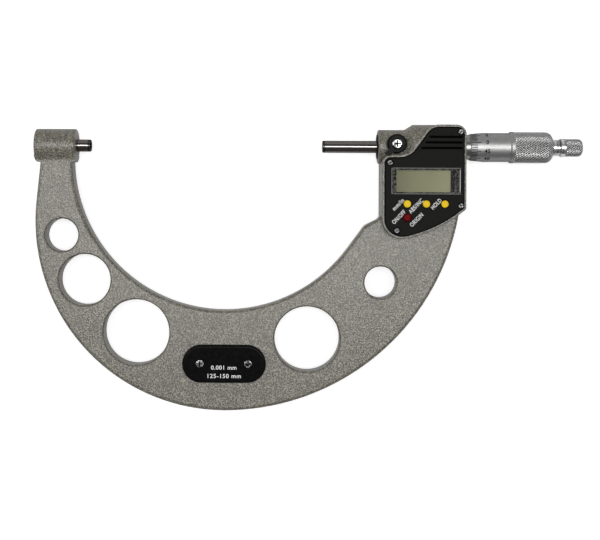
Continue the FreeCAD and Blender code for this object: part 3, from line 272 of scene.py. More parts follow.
# %% Dress every solid
own_finishes = {
    "sleeve": finish("polished_chrome", (0.36, 0.363, 0.36), (0.46, 0.463, 0.46), (0.26, 0.36), 1.0,
                     grain=0.6, stretch=ROUND_X, edge=0.1),
    "ratchet_body": finish("polished_neck", (0.45, 0.455, 0.45), (0.95, 0.955, 0.95), (0.22, 0.36), 1.0,
                           grain=1.2, stretch=ROUND_X, contrast=(0.42, 0.58), edge=0.5),
    "cover_screws": finish("dull_screws", (0.02, 0.02, 0.02), (0.2, 0.2, 0.2), (0.3, 0.42), 1.0, grain=0.9,
                           contrast=(0.42, 0.58), edge=0.1),
}
for part in frame["record"]["subparts"]:
    piece = frame["nodes"][part["node"]]
    piece.data.materials.clear()
    piece.data.materials.append(own_finishes.get(part["node"], finishes[part["material_slot"]]))

# %% [markdown]
# ## Turned pieces as rings of points
#
# A lathe cuts a profile into a bar, and a mesh can do the same: one ring of points for each station of
# the profile, joined by quads. Each ring may have its own radius at each point, which is how the knurl
# gets in later. A profile that comes back to its start closes into a solid, and one that starts and ends
# near the axis is closed by two small caps.

# %% The lathe


def turned_mesh(name, rings, looped):
    """Mesh about the X axis from rings of (x, radii, peaks), with one radius and one peak at each point."""
    count = len(rings[0][1])
    corners = []
    for x, radii, _ in rings:
        for i, radius in enumerate(radii):
            turn = 2 * math.pi * i / count
            corners.append((x, radius * math.cos(turn), radius * math.sin(turn)))
    faces = []
    spans = len(rings) if looped else len(rings) - 1
    for j in range(spans):
        here, there = j * count, (j + 1) % len(rings) * count
        for i in range(count):
            k = (i + 1) % count
            faces.append((here + i, here + k, there + k, there + i))
    if not looped:
        faces.append(tuple(reversed(range(count))))
        faces.append(tuple(range((len(rings) - 1) * count, len(rings) * count)))
    mesh = bpy.data.meshes.new(name)
    mesh.from_pydata(corners, [], faces)
    peak = mesh.attributes.new("peak", "FLOAT", "POINT")
    peak.data.foreach_set("value", [value for ring in rings for value in ring[2]])
    mesh.validate()
    return mesh


def shown(name, mesh, material, body):
    """Put a mesh in the scene with its finish, riding on one body."""
    piece = bpy.data.objects.new(name, mesh)
    bpy.context.scene.collection.objects.link(piece)
    mesh.materials.append(material)
    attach(piece, body)
    return piece


# %% [markdown]
# ## Diamond knurl
#
# Two rollers press crossing helical grooves into the grip and leave rows of small pyramids. A bump
# texture would look flat at the rim, so the pyramids are real here. The trick is to step the rings so
# that a groove moves by exactly one point from ring to ring: then every groove runs along mesh edges and
# stays crisp. The peaks lie on the CAD radius, so the size doesn't change. Each point also keeps how high
# it lies, as an attribute called peak, which the finish uses to paint shade into the grooves. One of the
# two sets of grooves is pressed in less deep, so the other one shows as slanting lines, as on the real grip.

# %% The knurl
POINTS_PER_TOOTH = 6
KNURL_SLOPE = 0.66
SHALLOW_SET = 0.3
PLAIN_PEAK = 0.46


def groove_share(step):
    """0 at the bottom of a groove and 1 midway between two grooves."""
    near = step % POINTS_PER_TOOTH
    return min(near, POINTS_PER_TOOTH - near) / (POINTS_PER_TOOTH / 2)


def knurled_ring(x, radius, depth, ring_number, teeth, share):
    """One ring of the knurl. The share is how much of the knurl is pressed in there."""
    radii, peaks = [], []
    for i in range(teeth * POINTS_PER_TOOTH):
        other = SHALLOW_SET + (1 - SHALLOW_SET) * groove_share(i + ring_number)
        peak = min(groove_share(i - ring_number), other)
        radii.append(radius - depth * share * (1 - peak))
        peaks.append(share * peak + (1 - share) * PLAIN_PEAK)
    return x, radii, peaks


def knurled_finish(name):
    """Satin chrome with painted shade in the grooves."""
    material = finish(name, (0.86, 0.865, 0.855), (0.95, 0.955, 0.945), (0.36, 0.46), 1.0, grain=0.6,
                      edge=0.5)
    nodes, links = material.node_tree.nodes, material.node_tree.links
    # The peak attribute darkens the grooves: painted shade where little light gets in.
    height = nodes.new("ShaderNodeAttribute")
    height.attribute_name = "peak"
    groove_shade = mix_colours(nodes, links, height.outputs["Fac"], (0.015, 0.015, 0.015), (1, 1, 1))
    groove_shade.color_ramp.elements[0].position = 0.26
    groove_shade.color_ramp.elements[1].position = 0.56
    darken = nodes.new("ShaderNodeVectorMath")
    darken.operation = "MULTIPLY"
    links.new(nodes["Color Ramp"].outputs["Color"], darken.inputs[0])
    links.new(groove_shade.outputs["Color"], darken.inputs[1])
    links.new(darken.outputs["Vector"], nodes["Principled BSDF"].inputs["Base Color"])
    return material


def knurl_step(radius, teeth):
    """Distance between rings that moves a groove by one point."""
    return radius * 2 * math.pi / (teeth * POINTS_PER_TOOTH) / KNURL_SLOPE


knurled_chrome = knurled_finish("knurled_chrome")
print("knurl finish:", knurled_chrome.name)


# %% [markdown]
# ## The thimble
#
# The thimble is the sleeve that the fingers turn. It has a bevel at its front for the graduations, a
# plain drum, and a knurled grip with a rounded back. Its size is read from the CAD node, so the mesh
# fits over the spindle and the sleeve exactly as the solid does. Where two surfaces meet, a second ring
# lies edge_gap away from the first, so that the shading of one surface doesn't run into the next.

# %% Rings of a grip


def knurled_grip(start, end, radius, end_round, depth, teeth, run_in, fade_angle):
    """Rings of a knurled cylinder whose far end is rounded, where the knurl fades out."""
    step = knurl_step(radius, teeth)
    rings = []
    number = 0
    x = start
    while x < end - end_round:
        share = min(1.0, (x - start) / run_in)
        rings.append(knurled_ring(x, radius, depth, number, teeth, share))
        number += 1
        x += step
    turn = step / end_round
    angle = 0.0
    while angle < math.pi / 2:
        share = max(0.0, 1 - angle / fade_angle)
        middle = end - end_round + end_round * math.sin(angle)
        edge = radius - end_round + end_round * math.cos(angle)
        rings.append(knurled_ring(middle, edge, depth, number, teeth, share))
        number += 1
        angle += turn
    return rings


def plain_rings(stations, points):
    """Rings without knurl, from pairs of x and radius."""
    return [(x, [radius] * points, [PLAIN_PEAK] * points) for x, radius in stations]


CRISP_ANGLE = 12


def smooth_by_angle(piece):
    """Round surfaces shade smoothly, and edges sharper than CRISP_ANGLE degrees stay crisp."""
    piece.data.shade_smooth()
    piece.data.set_sharp_from_angle(angle=math.radians(CRISP_ANGLE))


# %% Build the thimble
low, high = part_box("thimble")
thimble_front, thimble_back = low.x, high.x
grip_radius = high.z
sleeve_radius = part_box("sleeve")[1].z
rim_radius = sleeve_radius + 0.45 * MM
drum_radius = sleeve_radius + 1.15 * MM
bore_radius = sleeve_radius + 0.1 * MM
outer_band = 2.0 * MM
front_chamfer = 0.3 * MM
bevel_end = thimble_front + 7.0 * MM
grip_start = thimble_front + 22.1 * MM
grip_chamfer = 0.7 * MM
knurl_start = thimble_front + 23.5 * MM
web_start = thimble_back - 4.6 * MM
back_round = 4.0 * MM
seat_back_radius = 2.86 * MM
seat_front_radius = 3.36 * MM
thimble_teeth = 49
thimble_depth = 0.36 * MM
thimble_run_in = 0.9 * MM
thimble_fade = 1.25
edge_gap = 0.05 * MM


def make_thimble():
    """Closed profile: along the outside to the back, and through the bore to the front again."""
    points = thimble_teeth * POINTS_PER_TOOTH
    rings = plain_rings([
        (thimble_front, bore_radius + edge_gap),
        (thimble_front + front_chamfer, rim_radius),
        (thimble_front + front_chamfer + edge_gap, rim_radius),
        (bevel_end - edge_gap, drum_radius),
        (bevel_end, drum_radius),
        (grip_start - grip_chamfer - edge_gap, drum_radius),
        (grip_start - grip_chamfer, drum_radius),
        (grip_start, grip_radius),
        (grip_start + edge_gap, grip_radius),
        (knurl_start - edge_gap, grip_radius),
    ], points)
    rings += knurled_grip(knurl_start, thimble_back, grip_radius, back_round, thimble_depth, thimble_teeth,
                          thimble_run_in, thimble_fade)
    rings += plain_rings([
        (thimble_back, grip_radius - back_round),
        (thimble_back, grip_radius - back_round - edge_gap),
        (thimble_back, seat_back_radius),
        (web_start, seat_front_radius),
        (web_start, bore_radius),
        (thimble_front, bore_radius),
    ], points)
    mesh = turned_mesh("thimble_knurled", rings, True)
    piece = shown("thimble_knurled", mesh, finishes["satin_chrome"], "spindle_group")
    mesh.materials.append(knurled_chrome)
    for face in mesh.polygons:
        on_outside = face.center.yz.length > drum_radius - outer_band
        face.material_index = int(face.center.x > knurl_start and on_outside)
    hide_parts("thimble")
    return piece


thimble = make_thimble()
smooth_by_angle(thimble)
print("thimble:", len(thimble.data.polygons), "faces")

# %% [markdown]
# ## The ratchet knob
#
# The small knob behind the thimble slips when the work is held firmly enough. Its knurl has the thimble's
# pitch on a thinner grip, its collar at the front is polished like the neck, and its far end is closed.
# Inside, it is hollow for the clutch and the spring.

# %% Build the ratchet knob
low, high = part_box("ratchet_knob")
knob_front, knob_back = low.x, high.x
knob_radius = high.z
knob_wall = 1.25 * MM
knob_end_wall = 2.2 * MM
knob_stem_radius = 1.9 * MM
knob_cap_wall = 0.9 * MM
knob_round = 2.4 * MM
knob_plain = 2.7 * MM
knob_chamfer = 0.35 * MM
knob_teeth = 28
knob_depth = 0.32 * MM
knob_run_in = 0.5 * MM
knob_fade = 1.3
axis_radius = 0.05 * MM


def make_ratchet_knob():
    """Open profile: from the hollow out to the front, along the outside and to the axis at the back."""
    points = knob_teeth * POINTS_PER_TOOTH
    rings = plain_rings([
        (knob_back - knob_cap_wall, axis_radius),
        (knob_back - knob_cap_wall, knob_stem_radius),
        (knob_back - knob_end_wall, knob_stem_radius),
        (knob_back - knob_end_wall, knob_radius - knob_wall),
        (knob_front, knob_radius - knob_wall),
        (knob_front, knob_radius - knob_chamfer),
        (knob_front + knob_chamfer, knob_radius),
        (knob_front + knob_plain - edge_gap, knob_radius),
    ], points)
    rings += knurled_grip(knob_front + knob_plain, knob_back, knob_radius, knob_round, knob_depth,
                          knob_teeth, knob_run_in, knob_fade)
    rings += plain_rings([(knob_back, knob_radius - knob_round), (knob_back, axis_radius)], points)
    mesh = turned_mesh("ratchet_knob_knurled", rings, False)
    piece = shown("ratchet_knob_knurled", mesh, own_finishes["ratchet_body"], "ratchet_group")
    mesh.materials.append(knurled_chrome)
    for face in mesh.polygons:
        face.material_index = int(face.center.x > knob_front + knob_plain)
    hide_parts("ratchet_knob")
    return piece


knob = make_ratchet_knob()
smooth_by_angle(knob)
print("ratchet knob:", len(knob.data.polygons), "faces")

# %% [markdown]
# ## Ground bars
#
# The spindle and the anvil are ground and lapped, so their shine is what shows their shape. The facets of
# the CAD mesh would break up the narrow stripe of the lamp. A thin sleeve of many points lies on each bar
# and mirrors it as one line.

# %% Cover the bars
BAR_POINTS = 128
bar_skin = 0.02 * MM
covered_spindle = 30 * MM
bare_anvil = 10 * MM


def bar_cover(name, start, end, radius, body):
    """A thin smooth skin on a bar from start to end."""
    stations = [(start, radius), (start, radius + bar_skin), (end, radius + bar_skin), (end, radius)]
    mesh = turned_mesh(name, plain_rings(stations, BAR_POINTS), True)
    piece = shown(name, mesh, finishes["spindle_steel"], body)
    smooth_by_angle(piece)


bar_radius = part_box("spindle_tip")[1].z
spindle_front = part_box("spindle")[0].x
anvil_start, anvil_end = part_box("anvil")[0].x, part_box("anvil")[1].x
bar_cover("spindle_cover", spindle_front, spindle_front + covered_spindle, bar_radius, "spindle_group")
bar_cover("anvil_cover", anvil_start + bare_anvil, anvil_end, bar_radius, "frame_body")
print("bars covered, radius", round(bar_radius / MM, 2), "mm")

# %% [markdown]
# ## Graduations round the thimble
#
# The bevel carries fifty lines, one for each hundredth of a turn's half millimetre, with every fifth line
# longer and numbered. They are engraved and filled with black. A texture would blur here, so each line is
# a thin strip of mesh that follows the cone. The whole scale is turned by 18 degrees from the top of the
# drum, as in the photograph, so that two numbers stand on either side of the middle.

# %% Marks as thin strips
INK_HEIGHT = 0.03 * MM
line_ink = finish("engraved_black", (0.004, 0.004, 0.004), (0.01, 0.01, 0.0095), (0.5, 0.7), grain=0.5,
                  specular=0.04)
white_ink = finish("printed_white", (0.88, 0.88, 0.87), (0.95, 0.95, 0.94), (0.5, 0.65), grain=0.5)


def on_cylinder(x, round_angle, radius):
    """A point of a cylinder about X. The angle is 0 at the top (+Z) and grows towards +Y."""
    return Vector((x, radius * math.sin(round_angle), radius * math.cos(round_angle)))


def strip_round_x(x0, x1, radius0, radius1, angle, width):
    """Corners of a thin block lying on a cone or cylinder, along X."""
    corners = []
    for x, radius in ((x0, radius0), (x1, radius1)):
        half = width / 2 / radius
        for turn in (angle - half, angle + half):
            for height in (-INK_HEIGHT, INK_HEIGHT):
                corners.append(on_cylinder(x, turn, radius + height))
    return corners


BLOCK_FACES = [(0, 1, 3, 2), (4, 6, 7, 5), (0, 4, 5, 1), (2, 3, 7, 6), (0, 2, 6, 4), (1, 5, 7, 3)]


def joined_blocks(name, blocks):
    """One mesh from many eight-cornered blocks."""
    corners, faces = [], []
    for block in blocks:
        start = len(corners)
        corners += block
        faces += [tuple(start + i for i in face) for face in BLOCK_FACES]
    mesh = bpy.data.meshes.new(name)
    mesh.from_pydata(corners, [], faces)
    mesh.validate()
    return mesh


scale_turn = math.radians(18)
divisions = 50
long_every = 5
line_width = 0.36 * MM
line_start = thimble_front + 0.4 * MM
short_end = thimble_front + 3.7 * MM
long_end = thimble_front + 5.6 * MM


def bevel_radius(x):
    """Radius of the bevel at one place along it."""
    share = (x - thimble_front) / (bevel_end - thimble_front)
    return rim_radius + (drum_radius - rim_radius) * min(1.0, share)


blocks = []
for i in range(divisions):
    end = short_end if i % long_every else long_end
    angle = scale_turn + 2 * math.pi * i / divisions
    radii = (bevel_radius(line_start), bevel_radius(end))
    blocks.append(strip_round_x(line_start, end, *radii, angle, line_width))
shown("thimble_lines", joined_blocks("thimble_lines", blocks), line_ink, "spindle_group")
print(divisions, "lines on the thimble")

# %% [markdown]
# ## Numbers and words from a font
#
# Blender's text objects turn into meshes, which can then be bent. A word is made once, flat and centred,
# and a small function puts each of its points where it belongs: on a flat cover, or wrapped round a drum
# by treating its height as a distance round the axis.

# %% Words as meshes


def word_mesh(words, height, thickness, boldness):
    """Flat mesh of some words, centred, with capitals of the given height."""
    capital_share = 0.7
    letter_space = 1.1
    text = bpy.data.curves.new("words", "FONT")
    text.body = words
    text.size = height / capital_share
    text.extrude = thickness / 2
    text.offset = boldness * text.size
    text.space_character = letter_space
    text.align_x = "CENTER"
    text.align_y = "CENTER"
    text.resolution_u = 3
    holder = bpy.data.objects.new("words", text)
    bpy.context.scene.collection.objects.link(holder)
    bpy.context.view_layer.update()
    mesh = bpy.data.meshes.new_from_object(holder.evaluated_get(bpy.context.evaluated_depsgraph_get()))
    bpy.data.objects.remove(holder)
    bpy.data.curves.remove(text)
    return mesh


def joined(name, meshes):
    """One mesh from several."""
    corners, faces = [], []
    for mesh in meshes:
        start = len(corners)
        corners += [v.co.copy() for v in mesh.vertices]
        faces += [tuple(start + i for i in face.vertices) for face in mesh.polygons]
        bpy.data.meshes.remove(mesh)
    whole = bpy.data.meshes.new(name)
    whole.from_pydata(corners, [], faces)
    whole.validate()
    return whole


def wrapped(mesh, x, angle, radius):
    """Bend a flat word round the X axis at one place."""
    for corner in mesh.vertices:
        across, up, out = corner.co
        corner.co = on_cylinder(x + across, angle + up / radius, radius + out + INK_HEIGHT / 2)
    return mesh


number_height = 2.1 * MM
number_boldness = 0.03
number_x = thimble_front + 8.9 * MM
numbers = []
for i in range(0, divisions, long_every):
    angle = scale_turn + 2 * math.pi * i / divisions
    word = word_mesh(str(i), number_height, INK_HEIGHT, number_boldness)
    numbers.append(wrapped(word, number_x, angle, drum_radius))
shown("thimble_numbers", joined("thimble_numbers", numbers), line_ink, "spindle_group")
print("numbers on the thimble:", list(range(0, divisions, long_every)))

# %% [markdown]
# ## The scale along the sleeve
#
# The fixed sleeve carries the line that the thimble's divisions are read against, and a scale of half
# millimetres for the whole travel. At the smallest reading the thimble covers all but its start, and the
# rest comes into view as the thimble backs away.

# %% The sleeve's scale
travel = 25
numbered_every = 5
half_step = 0.5 * MM
long_tick = 1.9 * MM
short_tick = 1.3 * MM
half_tick_width = 0.1 * MM
index_width = 0.24 * MM
scale_number_height = 1.4 * MM
scale_number_boldness = 0.02
scale_number_rise = 2.8 * MM
sleeve_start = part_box("sleeve")[0].x
index_start = sleeve_start + 0.4 * MM
scale_zero = thimble_front
index_end = scale_zero + (travel + 1) * MM


def ring_tick(x, length):
    """Short line across the sleeve, in small steps so that it follows the curve."""
    steps = 4
    pieces = []
    for i in range(steps):
        a = scale_turn + length * i / steps / sleeve_radius
        b = scale_turn + length * (i + 1) / steps / sleeve_radius
        corners = []
        for edge in (x - half_tick_width, x + half_tick_width):
            for turn in (a, b):
                for height in (-INK_HEIGHT, INK_HEIGHT):
                    corners.append(on_cylinder(edge, turn, sleeve_radius + height))
        pieces.append(corners)
    return pieces


blocks = [strip_round_x(index_start, index_end, sleeve_radius, sleeve_radius, scale_turn, index_width)]
for half in range(2 * travel + 1):
    x = scale_zero + half * half_step
    if half % (2 * numbered_every) == 0:
        blocks += ring_tick(x, long_tick)
    elif half % 2 == 0:
        blocks += ring_tick(x, short_tick)
    else:
        blocks += ring_tick(x, -short_tick)
shown("sleeve_lines", joined_blocks("sleeve_lines", blocks), line_ink, "frame_body")
numbers = []
number_angle = scale_turn + scale_number_rise / sleeve_radius
for value in range(0, travel + 1, numbered_every):
    word = word_mesh(str(value), scale_number_height, INK_HEIGHT, scale_number_boldness)
    numbers.append(wrapped(word, scale_zero + value * MM, number_angle, sleeve_radius))
shown("sleeve_numbers", joined("sleeve_numbers", numbers), line_ink, "frame_body")
print(2 * travel + 1, "lines on the sleeve")

# %% [markdown]
# ## Words beside the buttons and numbers on the grip plate
#
# Each button has its word printed at a slant on the black cover, and the grip plate names the measuring
# range and the smallest step. Printing is a thin layer, so each word is a mesh a few hundredths of a
# millimetre thick that lies on the face that carries it.

# %% Printed words
PRINT_THICKNESS = 0.04 * MM


def printed(words, centre, length, height, angle, face_height, boldness):
    """Words on a flat face, with the given length and height of capitals."""
    mesh = word_mesh(words, height, PRINT_THICKNESS, boldness)
    across = max(v.co.x for v in mesh.vertices) - min(v.co.x for v in mesh.vertices)
    turn = Matrix.Rotation(math.radians(angle), 4, "Z")
    place = Matrix.Translation((centre[0], centre[1], face_height + PRINT_THICKNESS / 4))
    mesh.transform(place @ turn @ Matrix.Diagonal((length / across, 1, 1, 1)))
    return mesh


cover_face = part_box("display_cover")[1].z
slant = 45.5
legend_height = 2.25 * MM
legend_boldness = 0.008
legends = {
    "mm/in": ((164.9, -31.1), 7.4),
    "ON/OFF": ((165.3, -37.8), 8.9),
    "ABS/INC": ((174.4, -31.9), 9.6),
    "ORIGIN": ((174.7, -39.2), 8.7),
    "HOLD": ((185.1, -30.8), 6.6),
}
meshes = []
for words, ((x, y), length) in legends.items():
    place = (x * MM, y * MM)
    meshes.append(printed(words, place, length * MM, legend_height, slant, cover_face, legend_boldness))
shown("button_words", joined("button_words", meshes), white_ink, "frame_body")
print("words at the buttons:", list(legends))

# %% The two lines on the grip plate
plate_low, plate_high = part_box("grip_plate")
plate_middle = (plate_low.x + plate_high.x) / 2
plate_face = plate_high.z
plate_height = 2.2 * MM
plate_boldness = 0.012
plate_lines = {"0.001 mm": (-118.7, 13.6), "125-150 mm": (-123.2, 17.8)}
meshes = []
for words, (y, length) in plate_lines.items():
    place = (plate_middle, y * MM)
    meshes.append(printed(words, place, length * MM, plate_height, 0, plate_face, plate_boldness))
shown("plate_words", joined("plate_words", meshes), white_ink, "frame_body")
print("lines on the plate:", list(plate_lines))

# %% [markdown]
# ## Edges of the window
#
# The window over the display is a clear block whose bevelled rim catches the light: grey all round, and
# bright at its right end. Right of the blank display a groove in the bezel lies in shade and looks black.
# Clear plastic renders faint here, so the rim's light and the groove's shade are painted as thin strips on
# the pieces that carry them.

# %% The window's painted rim light and the painted shade of the groove
window_low, window_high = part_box("window_lens")
rim_width = 0.35 * MM
rim_top = window_high.z + 0.02 * MM
rim_bottom = window_high.z - 0.4 * MM
# Painted sheen on the window's bevelled rim, and a painted highlight at its right end.
rim_sheen = finish("window_rim_sheen", (0.07, 0.07, 0.062), (0.11, 0.11, 0.10), (0.3, 0.45), grain=0.6)
rim_highlight = finish("window_end_highlight", (0.42, 0.42, 0.40), (0.58, 0.58, 0.55), (0.3, 0.45), grain=0.6)
# Black for the painted shade of the bezel's groove.
band_shade = finish("display_band_shade", (0.003, 0.003, 0.004), (0.007, 0.007, 0.010), (0.4, 0.5), grain=0.5,
                    specular=0.05)


def block_corners(x0, x1, y0, y1, z0, z1):
    """The eight corners of an upright block."""
    return [Vector((x, y, z)) for x in (x0, x1) for y in (y0, y1) for z in (z0, z1)]


x0, x1, y0, y1 = window_low.x, window_high.x, window_low.y, window_high.y
rim_sides = [
    block_corners(x0, x0 + rim_width, y0, y1, rim_bottom, rim_top),
    block_corners(x0, x1, y0, y0 + rim_width, rim_bottom, rim_top),
    block_corners(x0, x1, y1 - rim_width, y1, rim_bottom, rim_top),
]
shown("window_rim_sheen", joined_blocks("window_rim_sheen", rim_sides), rim_sheen, "frame_body")
end_inset = 1.0 * MM
end_highlight = [block_corners(x1 - 2 * rim_width, x1 - rim_width, y0 + end_inset, y1 - end_inset, rim_bottom,
                         rim_top)]
shown("window_end_highlight", joined_blocks("window_end_highlight", end_highlight), rim_highlight, "frame_body")

# A black strip over the bezel's groove right of the display: painted shade of the groove.
bezel_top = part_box("lcd_bezel")[1].z
band_start = 193.1 * MM
band_end = 194.9 * MM
band_inset = 1.3 * MM
band_rise = 0.03 * MM
band = [block_corners(band_start, band_end, y0 + band_inset, y1 - band_inset, bezel_top - band_rise,
                      bezel_top + band_rise)]
shown("display_band_shade", joined_blocks("display_band_shade", band), band_shade, "frame_body")
print("window rim, bright end and display band")

# %% [markdown]
# ## Dark lines where light doesn't reach
#
# The grooves of the cover, the gaps round its buttons, screws and window, and the cross recesses of the
# screws look black, because hardly any light gets into them. The CAD solids have them all, but they are
# narrower than a pixel here. So their floors and edges are found in the CAD meshes and get a coat of ink.

# %% Ink on floors and edges
SHADOW_RISE = 0.02 * MM
STRAIGHT_UP = 0.999
SHORTEST_EDGE = 0.01 * MM
shadow_ink = finish("shadow", (0.0015, 0.0015, 0.0015), (0.003, 0.003, 0.003), (0.6, 0.8), grain=0.5,
                    specular=0.0)


def level_faces(node, lowest, highest):
    """Corner lists of a CAD node's faces that look straight up between two heights."""
    piece = frame["nodes"][node]
    found = []
    for face in piece.data.polygons:
        corners = [piece.matrix_world @ piece.data.vertices[i].co for i in face.vertices]
        normal = (corners[1] - corners[0]).cross(corners[2] - corners[0])
        if normal.length and normal.normalized().z > STRAIGHT_UP and lowest < corners[0].z < highest:
            found.append(corners)
    return found


def body_of(node):
    """The body that a CAD node belongs to."""
    return next(body for body, nodes in frame["record"]["behaviour"]["bodies"].items() if node in nodes)


def floor_ink(name, node, lowest, highest, body):
    """A coat of ink on the level faces between two heights."""
    corners, faces = [], []
    for face in level_faces(node, lowest, highest):
        start = len(corners)
        corners += [corner + Vector((0, 0, SHADOW_RISE)) for corner in face]
        faces.append(tuple(range(start, len(corners))))
    mesh = bpy.data.meshes.new(name)
    mesh.from_pydata(corners, [], faces)
    return shown(name, mesh, shadow_ink, body)


def edge_ink(name, node, height, width, body):
    """Dark strips just inside the edges of the level face at one height, and how many there are."""
    sides = {}
    for face in level_faces(node, height - SHADOW_RISE, height + SHADOW_RISE):
        for a, b in zip(face, face[1:] + face[:1]):
            sides[(tuple(round(v, 6) for v in a), tuple(round(v, 6) for v in b))] = (a, b)
    blocks = []
    for (key_a, key_b), (a, b) in sides.items():
        if (key_b, key_a) in sides or (b - a).length < SHORTEST_EDGE:
            continue
        inward = Vector((0, 0, 1)).cross((b - a).normalized()) * width
        block = [end + shift + Vector((0, 0, rise)) for end in (a, b) for shift in (Vector(), inward)
                 for rise in (-SHADOW_RISE, SHADOW_RISE)]
        blocks.append(block)
    shown(name, joined_blocks(name, blocks), shadow_ink, body)
    return len(blocks)


deepest_recess = 1.3 * MM
shallowest_recess = 0.2 * MM
gap_width = 0.28 * MM
for node in ("display_cover", "cover_screws", "plate_screws", "lock_screw"):
    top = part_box(node)[1].z
    piece = floor_ink(node + "_floors", node, top - deepest_recess, top - shallowest_recess, body_of(node))
    print(piece.name, len(piece.data.polygons), "faces on", body_of(node))
strips = edge_ink("cover_edges", "display_cover", cover_face, gap_width, "frame_body")
print("cover edges:", strips, "strips")

# %% [markdown]
# ## Floor and world
#
# A tool like this is shown on white. The floor is a pale sheet that the tool lies on by the back of its
# housing, so it keeps the shadow. A little glow is added where the camera or a polished surface looks at
# the floor, because that lifts it to white without pouring more light on the tool. The world is dim at
# the horizon and a little brighter overhead, which leaves dark sides on the round bars. It too is white
# for the camera and through glass. Polished bars see a share of that glow, as between dark flags.

# %% Which rays see white


def sees_background(nodes, links, share):
    """1 for rays of the camera and of glass, and the given share for those that gloss sends on."""
    path = nodes.new("ShaderNodeLightPath")
    part = nodes.new("ShaderNodeMath")
    part.operation = "MULTIPLY"
    part.inputs[1].default_value = share
    first = nodes.new("ShaderNodeMath")
    first.operation = "MAXIMUM"
    second = nodes.new("ShaderNodeMath")
    second.operation = "MAXIMUM"
    links.new(path.outputs["Is Glossy Ray"], part.inputs[0])
    links.new(path.outputs["Is Camera Ray"], first.inputs[0])
    links.new(part.outputs[0], first.inputs[1])
    links.new(first.outputs[0], second.inputs[0])
    links.new(path.outputs["Is Transmission Ray"], second.inputs[1])
    return second.outputs[0]


# %% The floor
floor_gap = 0.2 * MM
floor_half = 20.0
floor_colour = 0.5
floor_glow = 0.75
floor_gloss = 0.35


def floor_material():
    """Pale matt sheet that glows for the camera."""
    material = bpy.data.materials.new("pale_sheet")
    material.use_nodes = True
    nodes, links = material.node_tree.nodes, material.node_tree.links
    shader = nodes["Principled BSDF"]
    shader.inputs["Base Color"].default_value = (floor_colour, floor_colour, floor_colour, 1)
    shader.inputs["Roughness"].default_value = 0.9
    shader.inputs["Specular IOR Level"].default_value = 0.0
    shader.inputs["Emission Color"].default_value = (1, 1, 1, 1)
    glow = nodes.new("ShaderNodeMath")
    glow.operation = "MULTIPLY"
    glow.inputs[1].default_value = floor_glow
    links.new(sees_background(nodes, links, floor_gloss), glow.inputs[0])
    links.new(glow.outputs[0], shader.inputs["Emission Strength"])
    return material


floor_mesh = bpy.data.meshes.new("floor")
floor_z = cad_box[0].z - floor_gap
floor_corners = [(x * floor_half, y * floor_half, floor_z) for x, y in ((-1, -1), (1, -1), (1, 1), (-1, 1))]
floor_mesh.from_pydata(floor_corners, [], [(0, 1, 2, 3)])
floor_mesh.materials.append(floor_material())
floor = bpy.data.objects.new("floor", floor_mesh)
bpy.context.scene.collection.objects.link(floor)
print("floor at", round(floor_z / MM, 2), "mm")

# %% The world
horizon_light = 0.02
zenith_light = 0.06
world_gloss = 0.07


def make_world():
    """Dim sky for the light, white for the camera."""
    world = bpy.data.worlds.new("studio")
    bpy.context.scene.world = world
    world.use_nodes = True
    nodes, links = world.node_tree.nodes, world.node_tree.links
    dim = nodes["Background"]
    dim.inputs["Color"].default_value = (1, 1, 1, 1)
    place = nodes.new("ShaderNodeTexCoord")
    split = nodes.new("ShaderNodeSeparateXYZ")
    rise = nodes.new("ShaderNodeMapRange")
    rise.inputs["To Min"].default_value = horizon_light
    rise.inputs["To Max"].default_value = zenith_light
    links.new(place.outputs["Generated"], split.inputs["Vector"])
    links.new(split.outputs["Z"], rise.inputs["Value"])
    links.new(rise.outputs["Result"], dim.inputs["Strength"])
    white = nodes.new("ShaderNodeBackground")
    white.inputs["Color"].default_value = (1, 1, 1, 1)
    white.inputs["Strength"].default_value = 1.0
    either = nodes.new("ShaderNodeMixShader")
    links.new(sees_background(nodes, links, world_gloss), either.inputs["Fac"])
    links.new(dim.outputs["Background"], either.inputs[1])
    links.new(white.outputs["Background"], either.inputs[2])
    links.new(either.outputs["Shader"], nodes["World Output"].inputs["Surface"])


make_world()
print("world from", horizon_light, "at the horizon to", zenith_light, "overhead")

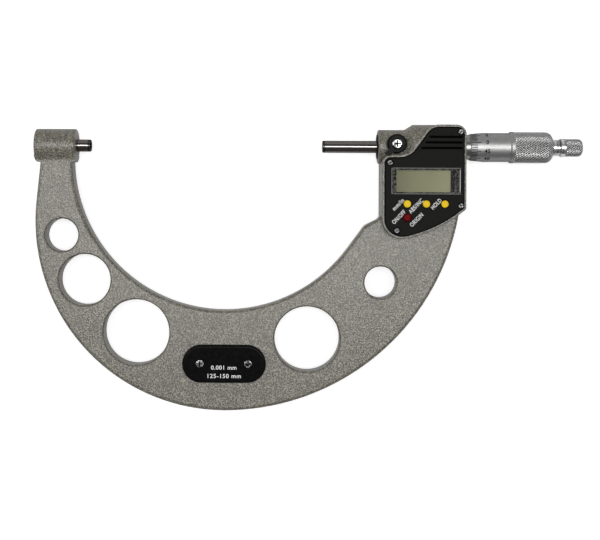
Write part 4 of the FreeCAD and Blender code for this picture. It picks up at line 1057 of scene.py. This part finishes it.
# %% [markdown]
# ## Lamps
#
# A long narrow soft box hangs over the measuring line: it draws the bright stripe along the spindle and
# the thimble. An upright panel behind the tool gives their upper sides a dim sheen. Two more lamps stand
# beyond the two ends of the tool. A bar along X can't mirror them to the camera, so they add no second
# stripe, yet they glint on the enamel, the cast edges and the knurl.

# %% The lamps


def soft_box(name, place, aim, size, power):
    """Area lamp at a place, pointed at another."""
    lamp = bpy.data.lights.new(name, "AREA")
    lamp.shape = "RECTANGLE"
    lamp.size, lamp.size_y = size
    lamp.energy = power
    holder = bpy.data.objects.new(name, lamp)
    holder.location = place
    holder.rotation_euler = (Vector(aim) - Vector(place)).to_track_quat("-Z", "Y").to_euler()
    bpy.context.scene.collection.objects.link(holder)


middle = (cad_box[0] + cad_box[1]) / 2
soft_box("strip", (middle.x, 0.01, 1.1), (middle.x, 0.01, 0), (1.1, 0.3), 8.3)
soft_box("panel", (middle.x, 0.95, 0.5), (middle.x, 0.0, 0.5), (1.6, 0.8), 1.5)
soft_box("left_key", (-0.8, 0.12, 0.6), (0.1, -0.03, 0), (0.5, 0.5), 2.3)
soft_box("right_fill", (1.0, 0.15, 0.7), (0.15, -0.05, 0), (0.5, 0.5), 1.2)
print("four soft boxes")

# %% [markdown]
# ## The camera
#
# The photograph looks straight down on the tool from a bit over half a metre. The point right below the
# lens lies above and left of the picture's middle, so the camera keeps looking straight down and its
# picture is shifted instead, as with a view camera. The tiny roll is that of the photograph.

# %% Place the camera
camera_height = 620.0
camera_x = 102.27
camera_y = -28.95
photo_scale = 1.848
photo_width = 600
photo_height = 540
look_px = 280.0
look_py = 200.0
roll = 2.3 / 485
sensor = 36.0

lens = bpy.data.cameras.new("camera")
lens.sensor_width = sensor
lens.lens = sensor * photo_scale * camera_height / photo_width
lens.shift_x = (photo_width / 2 - look_px) / photo_width
lens.shift_y = -(photo_height / 2 - look_py) / photo_width
camera = bpy.data.objects.new("camera", lens)
camera.location = (camera_x * MM, camera_y * MM, camera_height * MM)
camera.rotation_euler = (0, 0, roll)
bpy.context.scene.collection.objects.link(camera)
bpy.context.scene.camera = camera
bpy.context.scene.view_settings.view_transform = "Standard"
print("focal length", round(lens.lens, 2), "mm")
